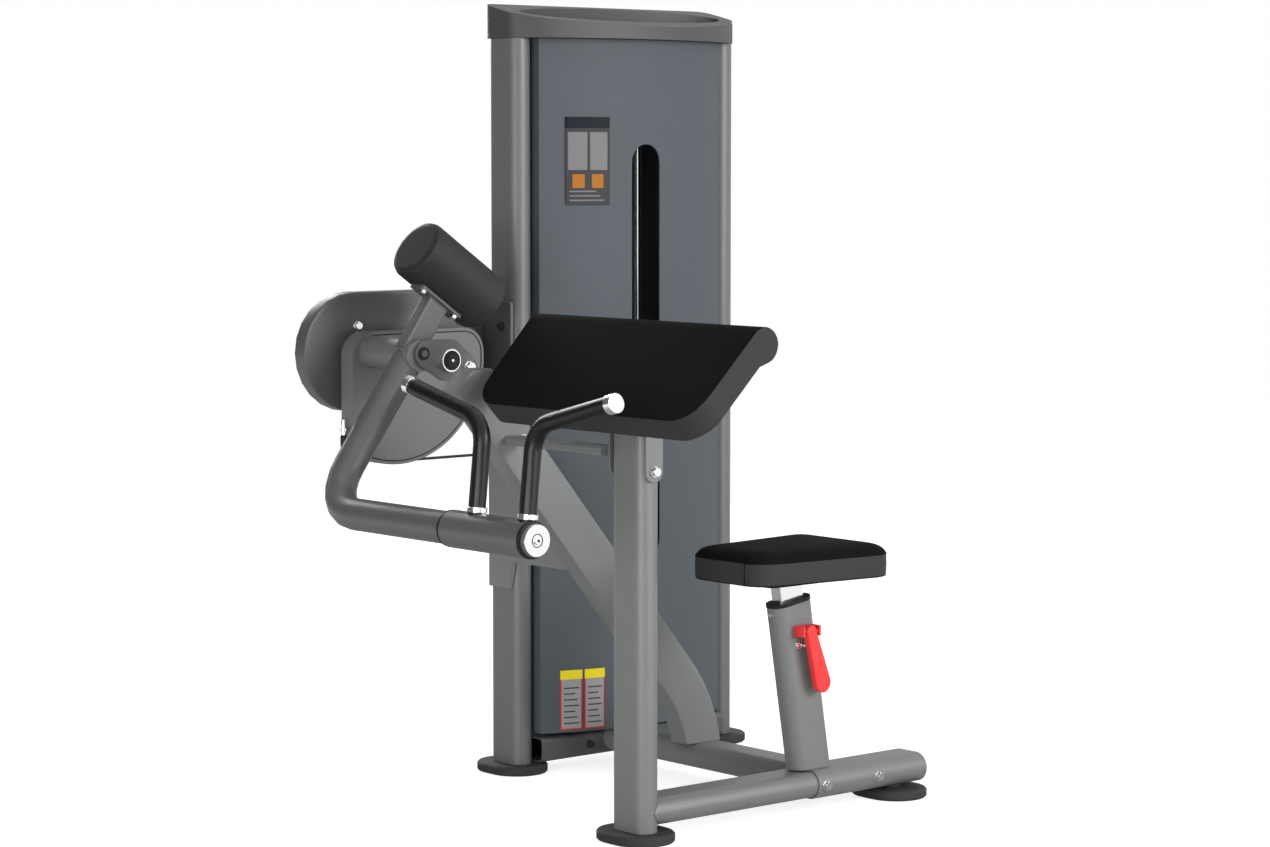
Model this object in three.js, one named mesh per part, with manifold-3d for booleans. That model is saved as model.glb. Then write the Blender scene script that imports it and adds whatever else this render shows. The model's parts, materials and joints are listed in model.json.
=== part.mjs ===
// Biceps curl machine: flat-oval tube frame, shrouded weight tower, cam, bent curl arm and sloped arm pad.
// Lengths in millimetres, +Z up, the seated user faces -X and the tower stands on the +Y side.
import * as THREE from "three";
import { mergeVertices } from "three/addons/utils/BufferGeometryUtils.js";
import Module from "manifold-3d";

const wasm = await Module();
wasm.setup();

// Unit and counts
const mm = 1;
const degree = Math.PI / 180;
const arcSteps = 8;
const roundSteps = 24;
const smallRoundSteps = 12;
const pulleySteps = 16;
const bendSteps = 6;
const softEdge = 4 * mm;

// Fits
const rest = 0.3 * mm;
const runFit = 0.3 * mm;

// Flat-oval frame tube
const ovalLong = 95 * mm;
const ovalShort = 50 * mm;
const tubeWall = 3 * mm;

// Feet
const footLong = 156 * mm;
const footWide = 124 * mm;
const footThick = 18 * mm;
const footBevel = 3 * mm;
const footBossRadius = 22 * mm;

// Floor frame
const railMidZ = 53 * mm;
const railEndX = 704 * mm;
const sleeveStartX = 415 * mm;
const sleeveWall = 3 * mm;
const footSeatX = 650 * mm;
const linkRailX = 475 * mm;
const crossbarMidZ = 45.5 * mm;
const crossbarHigh = 50 * mm;
const crossbarDeep = 110 * mm;
const crossbarRound = 12 * mm;
const crossbarAhead = 66 * mm;

// Tower
const leftUprightX = 243 * mm;
const towerY = 673 * mm;
const uprightSpacing = 540 * mm;
const towerX = leftUprightX + uprightSpacing / 2;
const uprightTopZ = 1478 * mm;
const capOverhang = 2 * mm;
const capHalfWide = (uprightSpacing + ovalShort) / 2 + capOverhang;
const capFrontBow = 83 * mm;
const capFrontEndY = 620 * mm;
const capBackY = 731 * mm;
const capHigh = 70 * mm;
const capBackTopZ = uprightTopZ + rest + capHigh;
const capSlope = 0.23;
const capCorner = 28 * mm;
const capCornerSteps = 4;
const capBowShare = 0.97;
const capTurnShare = 0.8;
const capSideShare = 1.15;
const trayDepth = 22 * mm;
const trayHalfLong = 262 * mm;
const trayHalfDeep = 64 * mm;
const trayMidY = 649 * mm;
const sheetThick = 3 * mm;
const shroudInset = 25 * mm;
const shroudFlange = 32 * mm;
const shroudSideGap = 4 * mm;
const shroudRearY = 728 * mm;
const slotWide = 73 * mm;
const slotMidX = 506 * mm;
const slotTopZ = 1268 * mm;
const slotBottomZ = 425 * mm;

// Cable and pulleys
const cableY = 683.5 * mm;
const cableRadius = 3 * mm;
const pulleyRim = 2.5 * mm;
const pulleySpace = 1 * mm;
const pulleyInset = 8.5 * mm;
const pulleyPlaces = 3;
const pulleyRoom = (uprightSpacing - ovalShort) / 2 - pulleyInset - pulleySpace;
const pulleyOuter = (pulleyRoom / pulleyPlaces + pulleyRim) / 2;
const pulleyPath = pulleyOuter - pulleyRim;
const pulleyWide = 16 * mm;
const pulleyGroove = 8 * mm;
const axleRadius = 6 * mm;
const bracketThick = 5 * mm;
const beamHigh = 25 * mm;
const pulleyTopGap = 2.2 * mm;
const topPulleyZ = uprightTopZ - rest - beamHigh - pulleyTopGap - pulleyOuter;
const beamDeep = 50 * mm;
const rodBeamZ = 1335 * mm;
const rodBeamHigh = 15 * mm;
const rodBeamDeep = 44 * mm;
const cableSlotWide = 18 * mm;
const cableSlotHigh = 24 * mm;

// Weight stack
const plateWide = 290 * mm;
const plateDeep = 80 * mm;
const platePitch = 25 * mm;
const plateGroove = 1.2 * mm;
const plateCoreInset = 5 * mm;
const lowerPlates = 13;
const liftedPlates = 4;
const stackBottomZ = 112 * mm;
const rodOffset = 72 * mm;
const rodRadius = 9 * mm;
const rodHoleFit = 0.8 * mm;
const stemRadius = 9 * mm;
const headHigh = 32 * mm;
const hitchHigh = 26 * mm;
const hitchRadius = 10 * mm;
const pinRadius = 4.5 * mm;
const pinKnobRadius = 13 * mm;
const pinKnobLong = 24 * mm;
const pinReach = 38 * mm;

// Swan neck
const neckWide = 92 * mm;
const neckNearY = 335 * mm;
const neckThick = 50 * mm;
const neckEdge = 8 * mm;
const neckSlope = 50.2 * degree;
const neckPassX = 58 * mm;
const neckPassZ = 625.9 * mm;
const neckFootX = 469 * mm;
const neckBend = 300 * mm;
const neckHeadLeftX = -153 * mm;
const neckHeadLeftZ = 810 * mm;
const neckTopLeftX = -111 * mm;
const neckTopLeftZ = 849 * mm;
const neckTopRightX = -64 * mm;
const neckTopRightZ = 848 * mm;
const neckNoseTopX = -53 * mm;
const neckNoseTopZ = 838 * mm;
const neckNoseX = -50 * mm;
const neckNoseZ = 826 * mm;
const gussetThick = 8 * mm;
const gussetFootBack = 33 * mm;
const gussetStepBack = 47 * mm;
const gussetTopBack = 73 * mm;
const gussetReach = 32 * mm;
const gussetFootDrop = 269.8 * mm;
const gussetStepDrop = 215.8 * mm;
const gussetLowDrop = 213.8 * mm;
const gussetInnerDrop = 155.8 * mm;
const gussetTopRise = 44.2 * mm;
const sidePlateDeep = 88 * mm;
const sidePlateHigh = 196 * mm;
const sidePlateRound = 8 * mm;
const sidePlateBack = 3.5 * mm;
const sidePlateRise = 3 * mm;
const plateEdge = 1 * mm;
const plateSteps = 3;

// Pivot
const hubX = -44 * mm;
const hubZ = 855 * mm;
const shaftRadius = 15 * mm;
const hubRadius = 24 * mm;
const crankNearY = 500 * mm;
const crankThick = 7 * mm;
const crankRadius = 41 * mm;
const crankLeftLong = 52.5 * mm;
const crankLeftRise = 13.7 * mm;
const crankLeftRadius = 26 * mm;
const crankRightLong = 48 * mm;
const crankRightDrop = 13.5 * mm;
const crankRightRadius = 20 * mm;
const crankHoleRadius = 5.5 * mm;
const crankHoleLong = 60 * mm;
const crankHoleRise = 15 * mm;
const camNearY = 665 * mm;
const camThick = 37 * mm;
const camRadius = 212 * mm;
const camGroove = 8.5 * mm;
const camCableSink = 2 * mm;
const camArcStart = -4 * degree;
const camArcEnd = -118 * degree;
const camHeelShare = 0.86;
const camShoulder = 1 * mm;
const camCableStart = -90.4 * degree;
const camCableSweep = -27.4 * degree;
const camTop = 50 * mm;
const camLeft = 109 * mm;
const camTopRound = 48 * mm;
const housingNearY = 721.3 * mm;
const housingThick = 36 * mm;
const housingRadius = 117 * mm;
const housingLeftX = -109 * mm;
const housingRightX = 145 * mm;
const housingZ = 863 * mm;
const housingEdge = 5 * mm;
const hubCapRadius = 22 * mm;
const hubCapLong = 9 * mm;
const hubCapBore = 0.8;

// Curl arm
const armRadius = 30 * mm;
const armWall = 3 * mm;
const armBend = 100 * mm;
const lowerX = -309 * mm;
const lowerZ = 583 * mm;
const lowerEndY = -98 * mm;
const legY = 538 * mm;
const crossX = -107 * mm;
const crossZ = 865 * mm;
const endCapThick = 4 * mm;
const endCapSeat = 2 * mm;
const endCapStud = 7 * mm;
const armOverrun = 0.05;
const weightLong = 201 * mm;
const weightRadius = 60.5 * mm;
const weightFlat = 54.7 * mm;
const weightX = -12.5 * mm;
const weightZ = 1014 * mm;
const weightTilt = 34.9 * degree;
const weightEdge = 12 * mm;
const weightPostWide = 50 * mm;
const weightPostThick = 30 * mm;
const weightPostRound = 4 * mm;
const weightPlateLong = 112 * mm;
const weightPlateWide = 44 * mm;
const weightPlateThick = 6 * mm;

// Handle
const sleeveStartY = -85 * mm;
const sleeveEndY = 138 * mm;
const sleeveOuter = 34 * mm;
const gripRadius = 16 * mm;
const gripBend = 55 * mm;
const gripFootY = 72 * mm;
const gripElbowX = -290 * mm;
const gripElbowZ = 778 * mm;
const gripTipX = -291 * mm;
const gripTipY = 282 * mm;
const gripTipZ = 829 * mm;

// Arm pad
const padSlope = 46 * degree;
const padRollX = 28 * mm;
const padRollZ = 917 * mm;
const padRoll = 32.5 * mm;
const padFace = 207 * mm;
const padThick = 52 * mm;
const padHalfTop = 315 * mm;
const padHalfLow = 306 * mm;
const padCorner = 60 * mm;
const padEdge = 9 * mm;
const boardThick = 15 * mm;
const boardStart = 34 * mm;
const boardInset = 14 * mm;
const bracketWide = 40 * mm;
const bracketNearLowZ = 659 * mm;
const linkBarLowZ = 703 * mm;
const linkBarHigh = 17 * mm;
const linkBarWide = 40 * mm;
const linkBarX = -18 * mm;

// Seat
const seatLean = 9.4 * degree;
const seatPostX = 431.7 * mm;
const seatPostZ = 84.7 * mm;
const seatPostLong = 322 * mm;
const stemWide = 60 * mm;
const stemThick = 27 * mm;
const stemCorner = 4 * mm;
const stemStart = 160 * mm;
const bushLong = 80 * mm;
const bushLip = 7 * mm;
const bushOver = 2 * mm;
const seatPlateThick = 7 * mm;
const seatPlateLong = 210 * mm;
const seatPlateWide = 150 * mm;
const seatPlateRound = 12 * mm;
const seatPlateX = 372 * mm;
const seatPlateGap = 44 * mm;
const seatPlateLowZ = seatPostZ + seatPostLong * Math.cos(seatLean) + seatPlateGap;
const seatFrontX = 211 * mm;
const seatRearX = 538 * mm;
const seatHalfFront = 107 * mm;
const seatHalfRear = 131 * mm;
const seatCorner = 50 * mm;
const seatHigh = 64 * mm;

// Seat lever
const leverX = 393 * mm;
const leverDrop = 50.4 * mm;
const leverZ = seatPostZ + seatPostLong * Math.cos(seatLean) - leverDrop;
const leverY = -45 * mm;
const leverThick = 14 * mm;
const leverTopRadius = 12 * mm;
const leverLowRadius = 19 * mm;
const leverLowX = leverX + 31 * mm;
const leverLowZ = leverZ - 101 * mm;
const leverPinRadius = 4 * mm;
const leverEarThick = 4 * mm;
const leverEarInner = 18 * mm;
const leverEarHalf = 10 * mm;
const leverEarNear = 7 * mm;
const leverEdge = 2 * mm;
const leverPadThick = 5 * mm;
const lockZ = leverZ - 29 * mm;
const lockRadius = 5 * mm;
const lockGap = 0.5 * mm;

// Colours
const frameGrey = { color: 0x6e7370, roughness: 0.42, metalness: 0.35 };
const shroudBlue = { color: 0x5f666e, roughness: 0.55, metalness: 0.1 };
const capGrey = { color: 0x4f5152, roughness: 0.6, metalness: 0 };
const padBlack = { color: 0x1f1f20, roughness: 0.7, metalness: 0 };
const footBlack = { color: 0x28292a, roughness: 0.75, metalness: 0 };
const chrome = { color: 0xd9dcde, roughness: 0.12, metalness: 1 };
const castGrey = { color: 0x484848, roughness: 0.6, metalness: 0.3 };
const leverRed = { color: 0xe0282a, roughness: 0.4, metalness: 0 };
const cableBlack = { color: 0x1b1b1c, roughness: 0.5, metalness: 0 };

const group = new THREE.Group();

// Solid helpers
function toSolid(geometry) {
  const bare = (geometry.index ? geometry.toNonIndexed() : geometry.clone());
  const plain = new THREE.BufferGeometry();
  plain.setAttribute("position", bare.getAttribute("position"));
  const merged = mergeVertices(plain, 1e-4);
  return new wasm.Manifold(new wasm.Mesh({
    numProp: 3,
    vertProperties: merged.attributes.position.array,
    triVerts: new Uint32Array(merged.index.array),
  }));
}

function toGeometry(solid) {
  const mesh = solid.getMesh();
  const geometry = new THREE.BufferGeometry();
  geometry.setAttribute("position", new THREE.BufferAttribute(mesh.vertProperties, mesh.numProp));
  geometry.setIndex(new THREE.BufferAttribute(mesh.triVerts, 1));
  return geometry;
}

function cut(base, ...tools) {
  return tools.reduce((left, tool) => left.subtract(tool), base);
}

function join(first, ...others) {
  return others.reduce((sum, other) => sum.add(other), first);
}

function add(name, solid, look) {
  const mesh = new THREE.Mesh(toGeometry(solid), new THREE.MeshStandardMaterial(look));
  mesh.name = name;
  group.add(mesh);
  return solid;
}

// Outlines
function polygon(points) {
  return new THREE.Shape(points.map(([u, v]) => new THREE.Vector2(u, v)));
}

function roundedBox(wide, high, radius, u = 0, v = 0) {
  const shape = new THREE.Shape();
  const left = u - wide / 2;
  const right = u + wide / 2;
  const low = v - high / 2;
  const top = v + high / 2;
  shape.moveTo(left + radius, low);
  shape.lineTo(right - radius, low);
  shape.absarc(right - radius, low + radius, radius, -Math.PI / 2, 0);
  shape.lineTo(right, top - radius);
  shape.absarc(right - radius, top - radius, radius, 0, Math.PI / 2);
  shape.lineTo(left + radius, top);
  shape.absarc(left + radius, top - radius, radius, Math.PI / 2, Math.PI);
  shape.lineTo(left, low + radius);
  shape.absarc(left + radius, low + radius, radius, Math.PI, Math.PI * 3 / 2);
  return shape;
}

function stadium(wide, high, u = 0, v = 0) {
  const radius = Math.min(wide, high) / 2;
  const half = Math.max(wide, high) / 2 - radius;
  const flat = wide > high;
  const shape = new THREE.Shape();
  if (flat) {
    shape.absarc(u + half, v, radius, -Math.PI / 2, Math.PI / 2);
    shape.absarc(u - half, v, radius, Math.PI / 2, Math.PI * 3 / 2);
  } else {
    shape.absarc(u, v + half, radius, 0, Math.PI);
    shape.absarc(u, v - half, radius, Math.PI, Math.PI * 2);
  }
  return shape;
}

function hull(circles) {
  const cloud = [];
  for (const [u, v, radius] of circles) {
    for (let i = 0; i < roundSteps; i += 1) {
      const turn = i * 2 * Math.PI / roundSteps;
      cloud.push([u + radius * Math.cos(turn), v + radius * Math.sin(turn)]);
    }
  }
  cloud.sort((a, b) => a[0] - b[0] || a[1] - b[1]);
  const side = (a, b, c) => (b[0] - a[0]) * (c[1] - a[1]) - (b[1] - a[1]) * (c[0] - a[0]);
  const chain = (list) => {
    const kept = [];
    for (const point of list) {
      while (kept.length > 1 && side(kept[kept.length - 2], kept[kept.length - 1], point) <= 0) {
        kept.pop();
      }
      kept.push(point);
    }
    kept.pop();
    return kept;
  };
  return polygon([...chain(cloud), ...chain(cloud.slice().reverse())]);
}

function disc(radius, u = 0, v = 0) {
  const shape = new THREE.Shape();
  shape.absarc(u, v, radius, 0, Math.PI * 2);
  return shape;
}

// Extrusions: the outline's two axes are named by the function
function prism(shape, length, steps, edge) {
  const settings = { depth: length, bevelEnabled: false, curveSegments: steps };
  if (edge) {
    Object.assign(settings, {
      depth: length - 2 * edge,
      bevelEnabled: true,
      bevelThickness: edge,
      bevelSize: edge,
      bevelOffset: -edge,
      bevelSegments: edge > softEdge ? 2 : 1,
    });
  }
  const geometry = new THREE.ExtrudeGeometry(shape, settings);
  geometry.translate(0, 0, edge);
  return geometry;
}

function alongZ(shape, low, high, steps = arcSteps, edge = 0) {
  const geometry = prism(shape, high - low, steps, edge);
  geometry.translate(0, 0, low);
  return toSolid(geometry);
}

function alongY(shape, near, far, steps = arcSteps, edge = 0) {
  const geometry = prism(shape, far - near, steps, edge);
  geometry.rotateX(Math.PI / 2);
  geometry.translate(0, far, 0);
  return toSolid(geometry);
}

function alongX(shape, left, right, steps = arcSteps, edge = 0) {
  const geometry = prism(shape, right - left, steps, edge);
  const turn = new THREE.Matrix4().makeBasis(
    new THREE.Vector3(0, 1, 0),
    new THREE.Vector3(0, 0, 1),
    new THREE.Vector3(1, 0, 0),
  );
  geometry.applyMatrix4(turn);
  geometry.translate(left, 0, 0);
  return toSolid(geometry);
}

function block(left, right, near, far, low, high) {
  return alongZ(polygon([[left, near], [right, near], [right, far], [left, far]]), low, high);
}

// Sweeps a section along a planar path; the side vector is normal to the path's plane
function sweep(path, side, section) {
  const rings = path.map((point, i) => {
    const before = path[Math.max(i - 1, 0)];
    const after = path[Math.min(i + 1, path.length - 1)];
    const ahead = after.clone().sub(before).normalize();
    const up = side.clone().cross(ahead).normalize();
    return section.map(([u, v]) => point.clone().addScaledVector(side, u).addScaledVector(up, v));
  });
  return loft(rings);
}

function loft(rings) {
  const count = rings[0].length;
  const flat = [];
  const push = (...points) => points.forEach((p) => flat.push(p.x, p.y, p.z));
  for (let i = 0; i + 1 < rings.length; i += 1) {
    for (let j = 0; j < count; j += 1) {
      const k = (j + 1) % count;
      push(rings[i][j], rings[i][k], rings[i + 1][k]);
      push(rings[i][j], rings[i + 1][k], rings[i + 1][j]);
    }
  }
  const middle = (ring) => ring.reduce((sum, p) => sum.add(p), new THREE.Vector3()).divideScalar(count);
  const first = rings[0];
  const last = rings[rings.length - 1];
  const firstMid = middle(first);
  const lastMid = middle(last);
  for (let j = 0; j < count; j += 1) {
    const k = (j + 1) % count;
    push(firstMid, first[k], first[j]);
    push(lastMid, last[j], last[k]);
  }
  const geometry = new THREE.BufferGeometry();
  geometry.setAttribute("position", new THREE.BufferAttribute(new Float32Array(flat), 3));
  const solid = toSolid(geometry);
  if (solid.volume() > 0) return solid;
  for (let i = 0; i < flat.length; i += 9) {
    for (let n = 0; n < 3; n += 1) {
      [flat[i + 3 + n], flat[i + 6 + n]] = [flat[i + 6 + n], flat[i + 3 + n]];
    }
  }
  geometry.setAttribute("position", new THREE.BufferAttribute(new Float32Array(flat), 3));
  return toSolid(geometry);
}

function ringSection(radius, steps = roundSteps) {
  return Array.from({ length: steps }, (_, i) => {
    const turn = i * 2 * Math.PI / steps;
    return [radius * Math.cos(turn), radius * Math.sin(turn)];
  });
}

// A path through corners, each inner corner rounded to its radius
function roundedPath(corners, radius, steps = bendSteps) {
  const path = [corners[0].clone()];
  for (let i = 1; i + 1 < corners.length; i += 1) {
    const into = corners[i].clone().sub(corners[i - 1]).normalize();
    const away = corners[i + 1].clone().sub(corners[i]).normalize();
    const turn = into.angleTo(away);
    const run = radius * Math.tan(turn / 2);
    const start = corners[i].clone().addScaledVector(into, -run);
    const inward = away.clone().sub(into).normalize();
    const centre = corners[i].clone().addScaledVector(inward, radius / Math.cos(turn / 2));
    const out = start.clone().sub(centre).normalize();
    for (let s = 0; s <= steps; s += 1) {
      const angle = turn * s / steps;
      path.push(centre.clone()
        .addScaledVector(out, radius * Math.cos(angle))
        .addScaledVector(into, radius * Math.sin(angle)));
    }
  }
  path.push(corners[corners.length - 1].clone());
  return path;
}

// Turns a solid built upright about its base so that its axis leans, then moves its base
function placeLean(solid, leanX, x, y, z) {
  const matrix = new THREE.Matrix4().makeRotationY(leanX);
  matrix.setPosition(x, y, z);
  return solid.transform(matrix.elements);
}

// Feet
const frameBottom = footThick + rest;
const leftX = towerX - uprightSpacing / 2;
const rightX = towerX + uprightSpacing / 2;
const footOutline = (x, y) => stadium(footWide, footLong, x, y);
add("foot_front", alongZ(footOutline(0, 0), 0, footThick, arcSteps, footBevel), footBlack);
add("foot_left", alongZ(footOutline(leftX, towerY), 0, footThick, arcSteps, footBevel), footBlack);
add("foot_right", alongZ(footOutline(rightX, towerY), 0, footThick, arcSteps, footBevel), footBlack);
const sleeveHigh = ovalShort + 2 * sleeveWall + 2 * runFit;
const sleeveLong = ovalLong + 2 * sleeveWall + 2 * runFit;
const footBossTop = railMidZ - sleeveHigh / 2 - rest;
add("foot_seat", join(
  alongZ(footOutline(footSeatX, 0), 0, footThick, arcSteps, footBevel),
  alongZ(disc(footBossRadius, footSeatX, 0), footThick - footBevel, footBossTop, smallRoundSteps),
), footBlack);

// Arm pad directions: along is up the slope, out is away from the padded face
const padAlong = new THREE.Vector3(Math.cos(padSlope), 0, Math.sin(padSlope));
const padOut = new THREE.Vector3(-Math.sin(padSlope), 0, Math.cos(padSlope));
const padPoint = (s, n, y) => new THREE.Vector3(padRollX, y, padRollZ)
  .addScaledVector(padAlong, s)
  .addScaledVector(padOut, n + padRoll);
const padOutline = (pairs) => polygon(pairs.map(([s, n]) => {
  const point = padPoint(s, n, 0);
  return [point.x, point.z];
}));
const boardTop = -padThick - rest;
const boardLow = boardTop - boardThick;
const skyHigh = 400 * mm;
const aboveBoard = (gap) => padOutline([
  [-padFace - skyHigh, boardLow - gap],
  [skyHigh, boardLow - gap],
  [skyHigh, skyHigh],
  [-padFace - skyHigh, skyHigh],
]);

// Front post and floor rails
const postStock = alongZ(stadium(ovalShort, ovalLong), frameBottom, padRollZ);
const postBore = alongZ(
  stadium(ovalShort - 2 * tubeWall, ovalLong - 2 * tubeWall), frameBottom - rest, padRollZ + rest);
const padSky = alongY(aboveBoard(rest), -padHalfTop, padHalfTop);
add("front_post", cut(postStock, postBore, padSky), frameGrey);

const railStart = 0;
const ovalYZ = (grow, y, z) => stadium(ovalLong + grow, ovalShort + grow, y, z);
add("base_rail", cut(
  alongX(ovalYZ(0, 0, railMidZ), railStart, railEndX),
  alongX(ovalYZ(-2 * tubeWall, 0, railMidZ), railStart - rest, railEndX + rest),
  alongZ(stadium(ovalShort + 2 * rest, ovalLong + 2 * rest), 0, railMidZ * 2),
), frameGrey);
const sleeveSolid = (grow) => alongX(
  stadium(sleeveLong + grow, sleeveHigh + grow, 0, railMidZ), sleeveStartX - grow, railEndX + grow);
add("seat_sleeve", cut(
  alongX(stadium(sleeveLong, sleeveHigh, 0, railMidZ), sleeveStartX, railEndX - 2 * rest),
  alongX(ovalYZ(2 * runFit, 0, railMidZ), sleeveStartX - rest, railEndX + rest),
), frameGrey);
const crossbarNearY = towerY - crossbarAhead;
const linkStartY = sleeveLong / 2 - ovalShort / 2;
add("link_rail", cut(
  alongY(stadium(ovalLong, ovalShort, linkRailX, railMidZ), linkStartY, crossbarNearY - rest),
  alongY(stadium(ovalLong - 2 * tubeWall, ovalShort - 2 * tubeWall, linkRailX, railMidZ),
    linkStartY - rest, crossbarNearY),
  sleeveSolid(2 * rest),
), frameGrey);

// Tower
const innerLeft = leftX + ovalShort / 2;
const innerRight = rightX - ovalShort / 2;
const crossbarMidY = crossbarNearY + crossbarDeep / 2;
const crossShape = (shrink) => roundedBox(
  crossbarDeep - shrink, crossbarHigh - shrink, crossbarRound - shrink / 2, crossbarMidY, crossbarMidZ);
add("lower_crossbar", cut(
  alongX(crossShape(0), innerLeft + rest, innerRight - rest, bendSteps),
  alongX(crossShape(2 * tubeWall), innerLeft, innerRight, bendSteps),
), frameGrey);
const cableZ = hubZ - (camRadius - cableRadius - camCableSink);
const cableSlot = alongX(stadium(cableSlotWide, cableSlotHigh, cableY, cableZ), 0, towerX);
const upright = (x) => cut(
  alongZ(stadium(ovalShort, ovalLong, x, towerY), frameBottom, uprightTopZ),
  alongZ(stadium(ovalShort - 2 * tubeWall, ovalLong - 2 * tubeWall, x, towerY),
    frameBottom - rest, uprightTopZ + rest),
);
add("upright_left", cut(upright(leftX), cableSlot), frameGrey);
add("upright_right", upright(rightX), frameGrey);

// Bowed plan curve of the cap and of the front shroud
const bowRadius = (capHalfWide ** 2 + capFrontBow ** 2) / (2 * capFrontBow);
const bowCentreY = capFrontEndY - capFrontBow + bowRadius;
const bowSteps = 14;
function bow(radius, halfWide) {
  const points = [];
  for (let i = 0; i <= bowSteps; i += 1) {
    const x = halfWide * (2 * i / bowSteps - 1);
    points.push([towerX + x, bowCentreY - Math.sqrt(radius ** 2 - x ** 2)]);
  }
  return points;
}
const capBottomZ = uprightTopZ + rest;
const cornerArc = (x, y, from, to) => Array.from({ length: capCornerSteps + 1 }, (_, i) => {
  const turn = from + (to - from) * i / capCornerSteps;
  return [x + capCorner * Math.cos(turn), y + capCorner * Math.sin(turn)];
});
const capInnerX = capHalfWide - capCorner;
const capSideY = capFrontEndY + capCorner * capSideShare;
const quarter = Math.PI / 2;
const capPlan = polygon([
  ...cornerArc(towerX - capInnerX, capSideY, -quarter * 2, -quarter * (2 - capTurnShare)),
  ...bow(bowRadius, capInnerX * capBowShare),
  ...cornerArc(towerX + capInnerX, capSideY, -quarter * capTurnShare, 0),
  ...cornerArc(towerX + capInnerX, capBackY - capCorner, 0, quarter),
  ...cornerArc(towerX - capInnerX, capBackY - capCorner, quarter, quarter * 2),
]);
const capFrontY = capFrontEndY - capFrontBow;
const capTopAt = (y) => capBackTopZ - capSlope * (capBackY - y);
const overReach = 30 * mm;
const capSky = (lower) => polygon([
  [capFrontY - overReach, capTopAt(capFrontY - overReach) - lower],
  [capBackY + overReach, capTopAt(capBackY + overReach) - lower],
  [capBackY + overReach, capBackTopZ + skyHigh],
  [capFrontY - overReach, capBackTopZ + skyHigh],
]);
const trayPlan = new THREE.Shape();
trayPlan.absellipse(towerX, trayMidY, trayHalfLong, trayHalfDeep, 0, Math.PI * 2);
const trayTool = alongZ(trayPlan, capBottomZ, capBackTopZ + skyHigh, bendSteps * 4)
  .intersect(alongX(capSky(trayDepth), leftX, rightX));
add("top_cap", cut(
  alongZ(capPlan, capBottomZ, capBackTopZ + overReach, arcSteps),
  alongX(capSky(0), leftX - skyHigh, rightX + skyHigh),
  trayTool,
), capGrey);

// Shrouds
const crossTopZ = crossbarMidZ + crossbarHigh / 2;
const towerFloorZ = crossTopZ + rest;
const shroudLowZ = Math.max(crossTopZ, railMidZ + ovalShort / 2) + rest;
const shroudTopZ = uprightTopZ - rest;
const shroudHalf = (innerRight - innerLeft) / 2 - shroudSideGap;
const frontOuter = bow(bowRadius - shroudInset, shroudHalf);
const frontInner = bow(bowRadius - shroudInset - sheetThick, shroudHalf - sheetThick);
const flangeY = frontOuter[0][1] + shroudFlange;
const shroudFront = alongZ(polygon([
  [towerX - shroudHalf, flangeY],
  ...frontOuter,
  [towerX + shroudHalf, flangeY],
  [towerX + shroudHalf - sheetThick, flangeY],
  ...frontInner.slice().reverse(),
  [towerX - shroudHalf + sheetThick, flangeY],
]), shroudLowZ, shroudTopZ);
const slotTool = alongY(
  stadium(slotWide, slotTopZ - slotBottomZ, slotMidX, (slotTopZ + slotBottomZ) / 2),
  capFrontY, towerY - plateDeep / 2, arcSteps);
add("front_shroud", cut(shroudFront, slotTool), shroudBlue);
const rearFlangeY = cableY + beamDeep / 2 + rest;
add("rear_shroud", alongZ(polygon([
  [towerX - shroudHalf, rearFlangeY],
  [towerX - shroudHalf + sheetThick, rearFlangeY],
  [towerX - shroudHalf + sheetThick, shroudRearY - sheetThick],
  [towerX + shroudHalf - sheetThick, shroudRearY - sheetThick],
  [towerX + shroudHalf - sheetThick, rearFlangeY],
  [towerX + shroudHalf, rearFlangeY],
  [towerX + shroudHalf, shroudRearY],
  [towerX - shroudHalf, shroudRearY],
]), shroudLowZ, shroudTopZ), shroudBlue);

// Pulleys, top beam and cable
const beamTopZ = uprightTopZ - rest;
const beamLowZ = beamTopZ - beamHigh;
const topRightX = towerX - pulleyPath;
const lowerPulleyX = innerLeft + pulleyInset + pulleyOuter;
const riseX = lowerPulleyX + pulleyPath;
const topLeftX = riseX + pulleyPath;
const lowerPulleyZ = cableZ + pulleyPath;
const hangerY = cableY + pulleyWide / 2 + rest;
const grooveRadius = pulleyPath - cableRadius - rest;
function pulley(x, z) {
  const half = pulleyWide / 2;
  const groove = pulleyGroove / 2;
  const outer = (near, far) => alongY(disc(pulleyOuter, x, z), cableY + near, cableY + far, pulleySteps);
  return cut(
    join(
      outer(-half, -groove),
      alongY(disc(grooveRadius, x, z), cableY - groove, cableY + groove, pulleySteps),
      outer(groove, half),
    ),
    alongY(disc(axleRadius + runFit, x, z), cableY - pulleyWide, cableY + pulleyWide, smallRoundSteps),
  );
}
const axle = (x, z) => alongY(
  disc(axleRadius, x, z), cableY - pulleyWide / 2, hangerY + bracketThick, smallRoundSteps);
const hangerDrop = 24 * mm;
add("top_beam", join(
  block(innerLeft + rest, innerRight - rest, cableY - beamDeep / 2, cableY + beamDeep / 2,
    beamLowZ, beamTopZ),
  block(topLeftX - hangerDrop, topRightX + hangerDrop, hangerY, hangerY + bracketThick,
    topPulleyZ - hangerDrop, beamLowZ + rest),
  axle(topLeftX, topPulleyZ),
  axle(topRightX, topPulleyZ),
), frameGrey);
add("lower_pulley_bracket", join(
  block(innerLeft + rest, lowerPulleyX + hangerDrop, hangerY, hangerY + bracketThick,
    lowerPulleyZ - hangerDrop, lowerPulleyZ + hangerDrop),
  axle(lowerPulleyX, lowerPulleyZ),
), frameGrey);
add("pulley_lower", pulley(lowerPulleyX, lowerPulleyZ), footBlack);
add("pulley_top_left", pulley(topLeftX, topPulleyZ), footBlack);
add("pulley_top_right", pulley(topRightX, topPulleyZ), footBlack);
const at = (x, z) => new THREE.Vector3(x, cableY, z);
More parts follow.
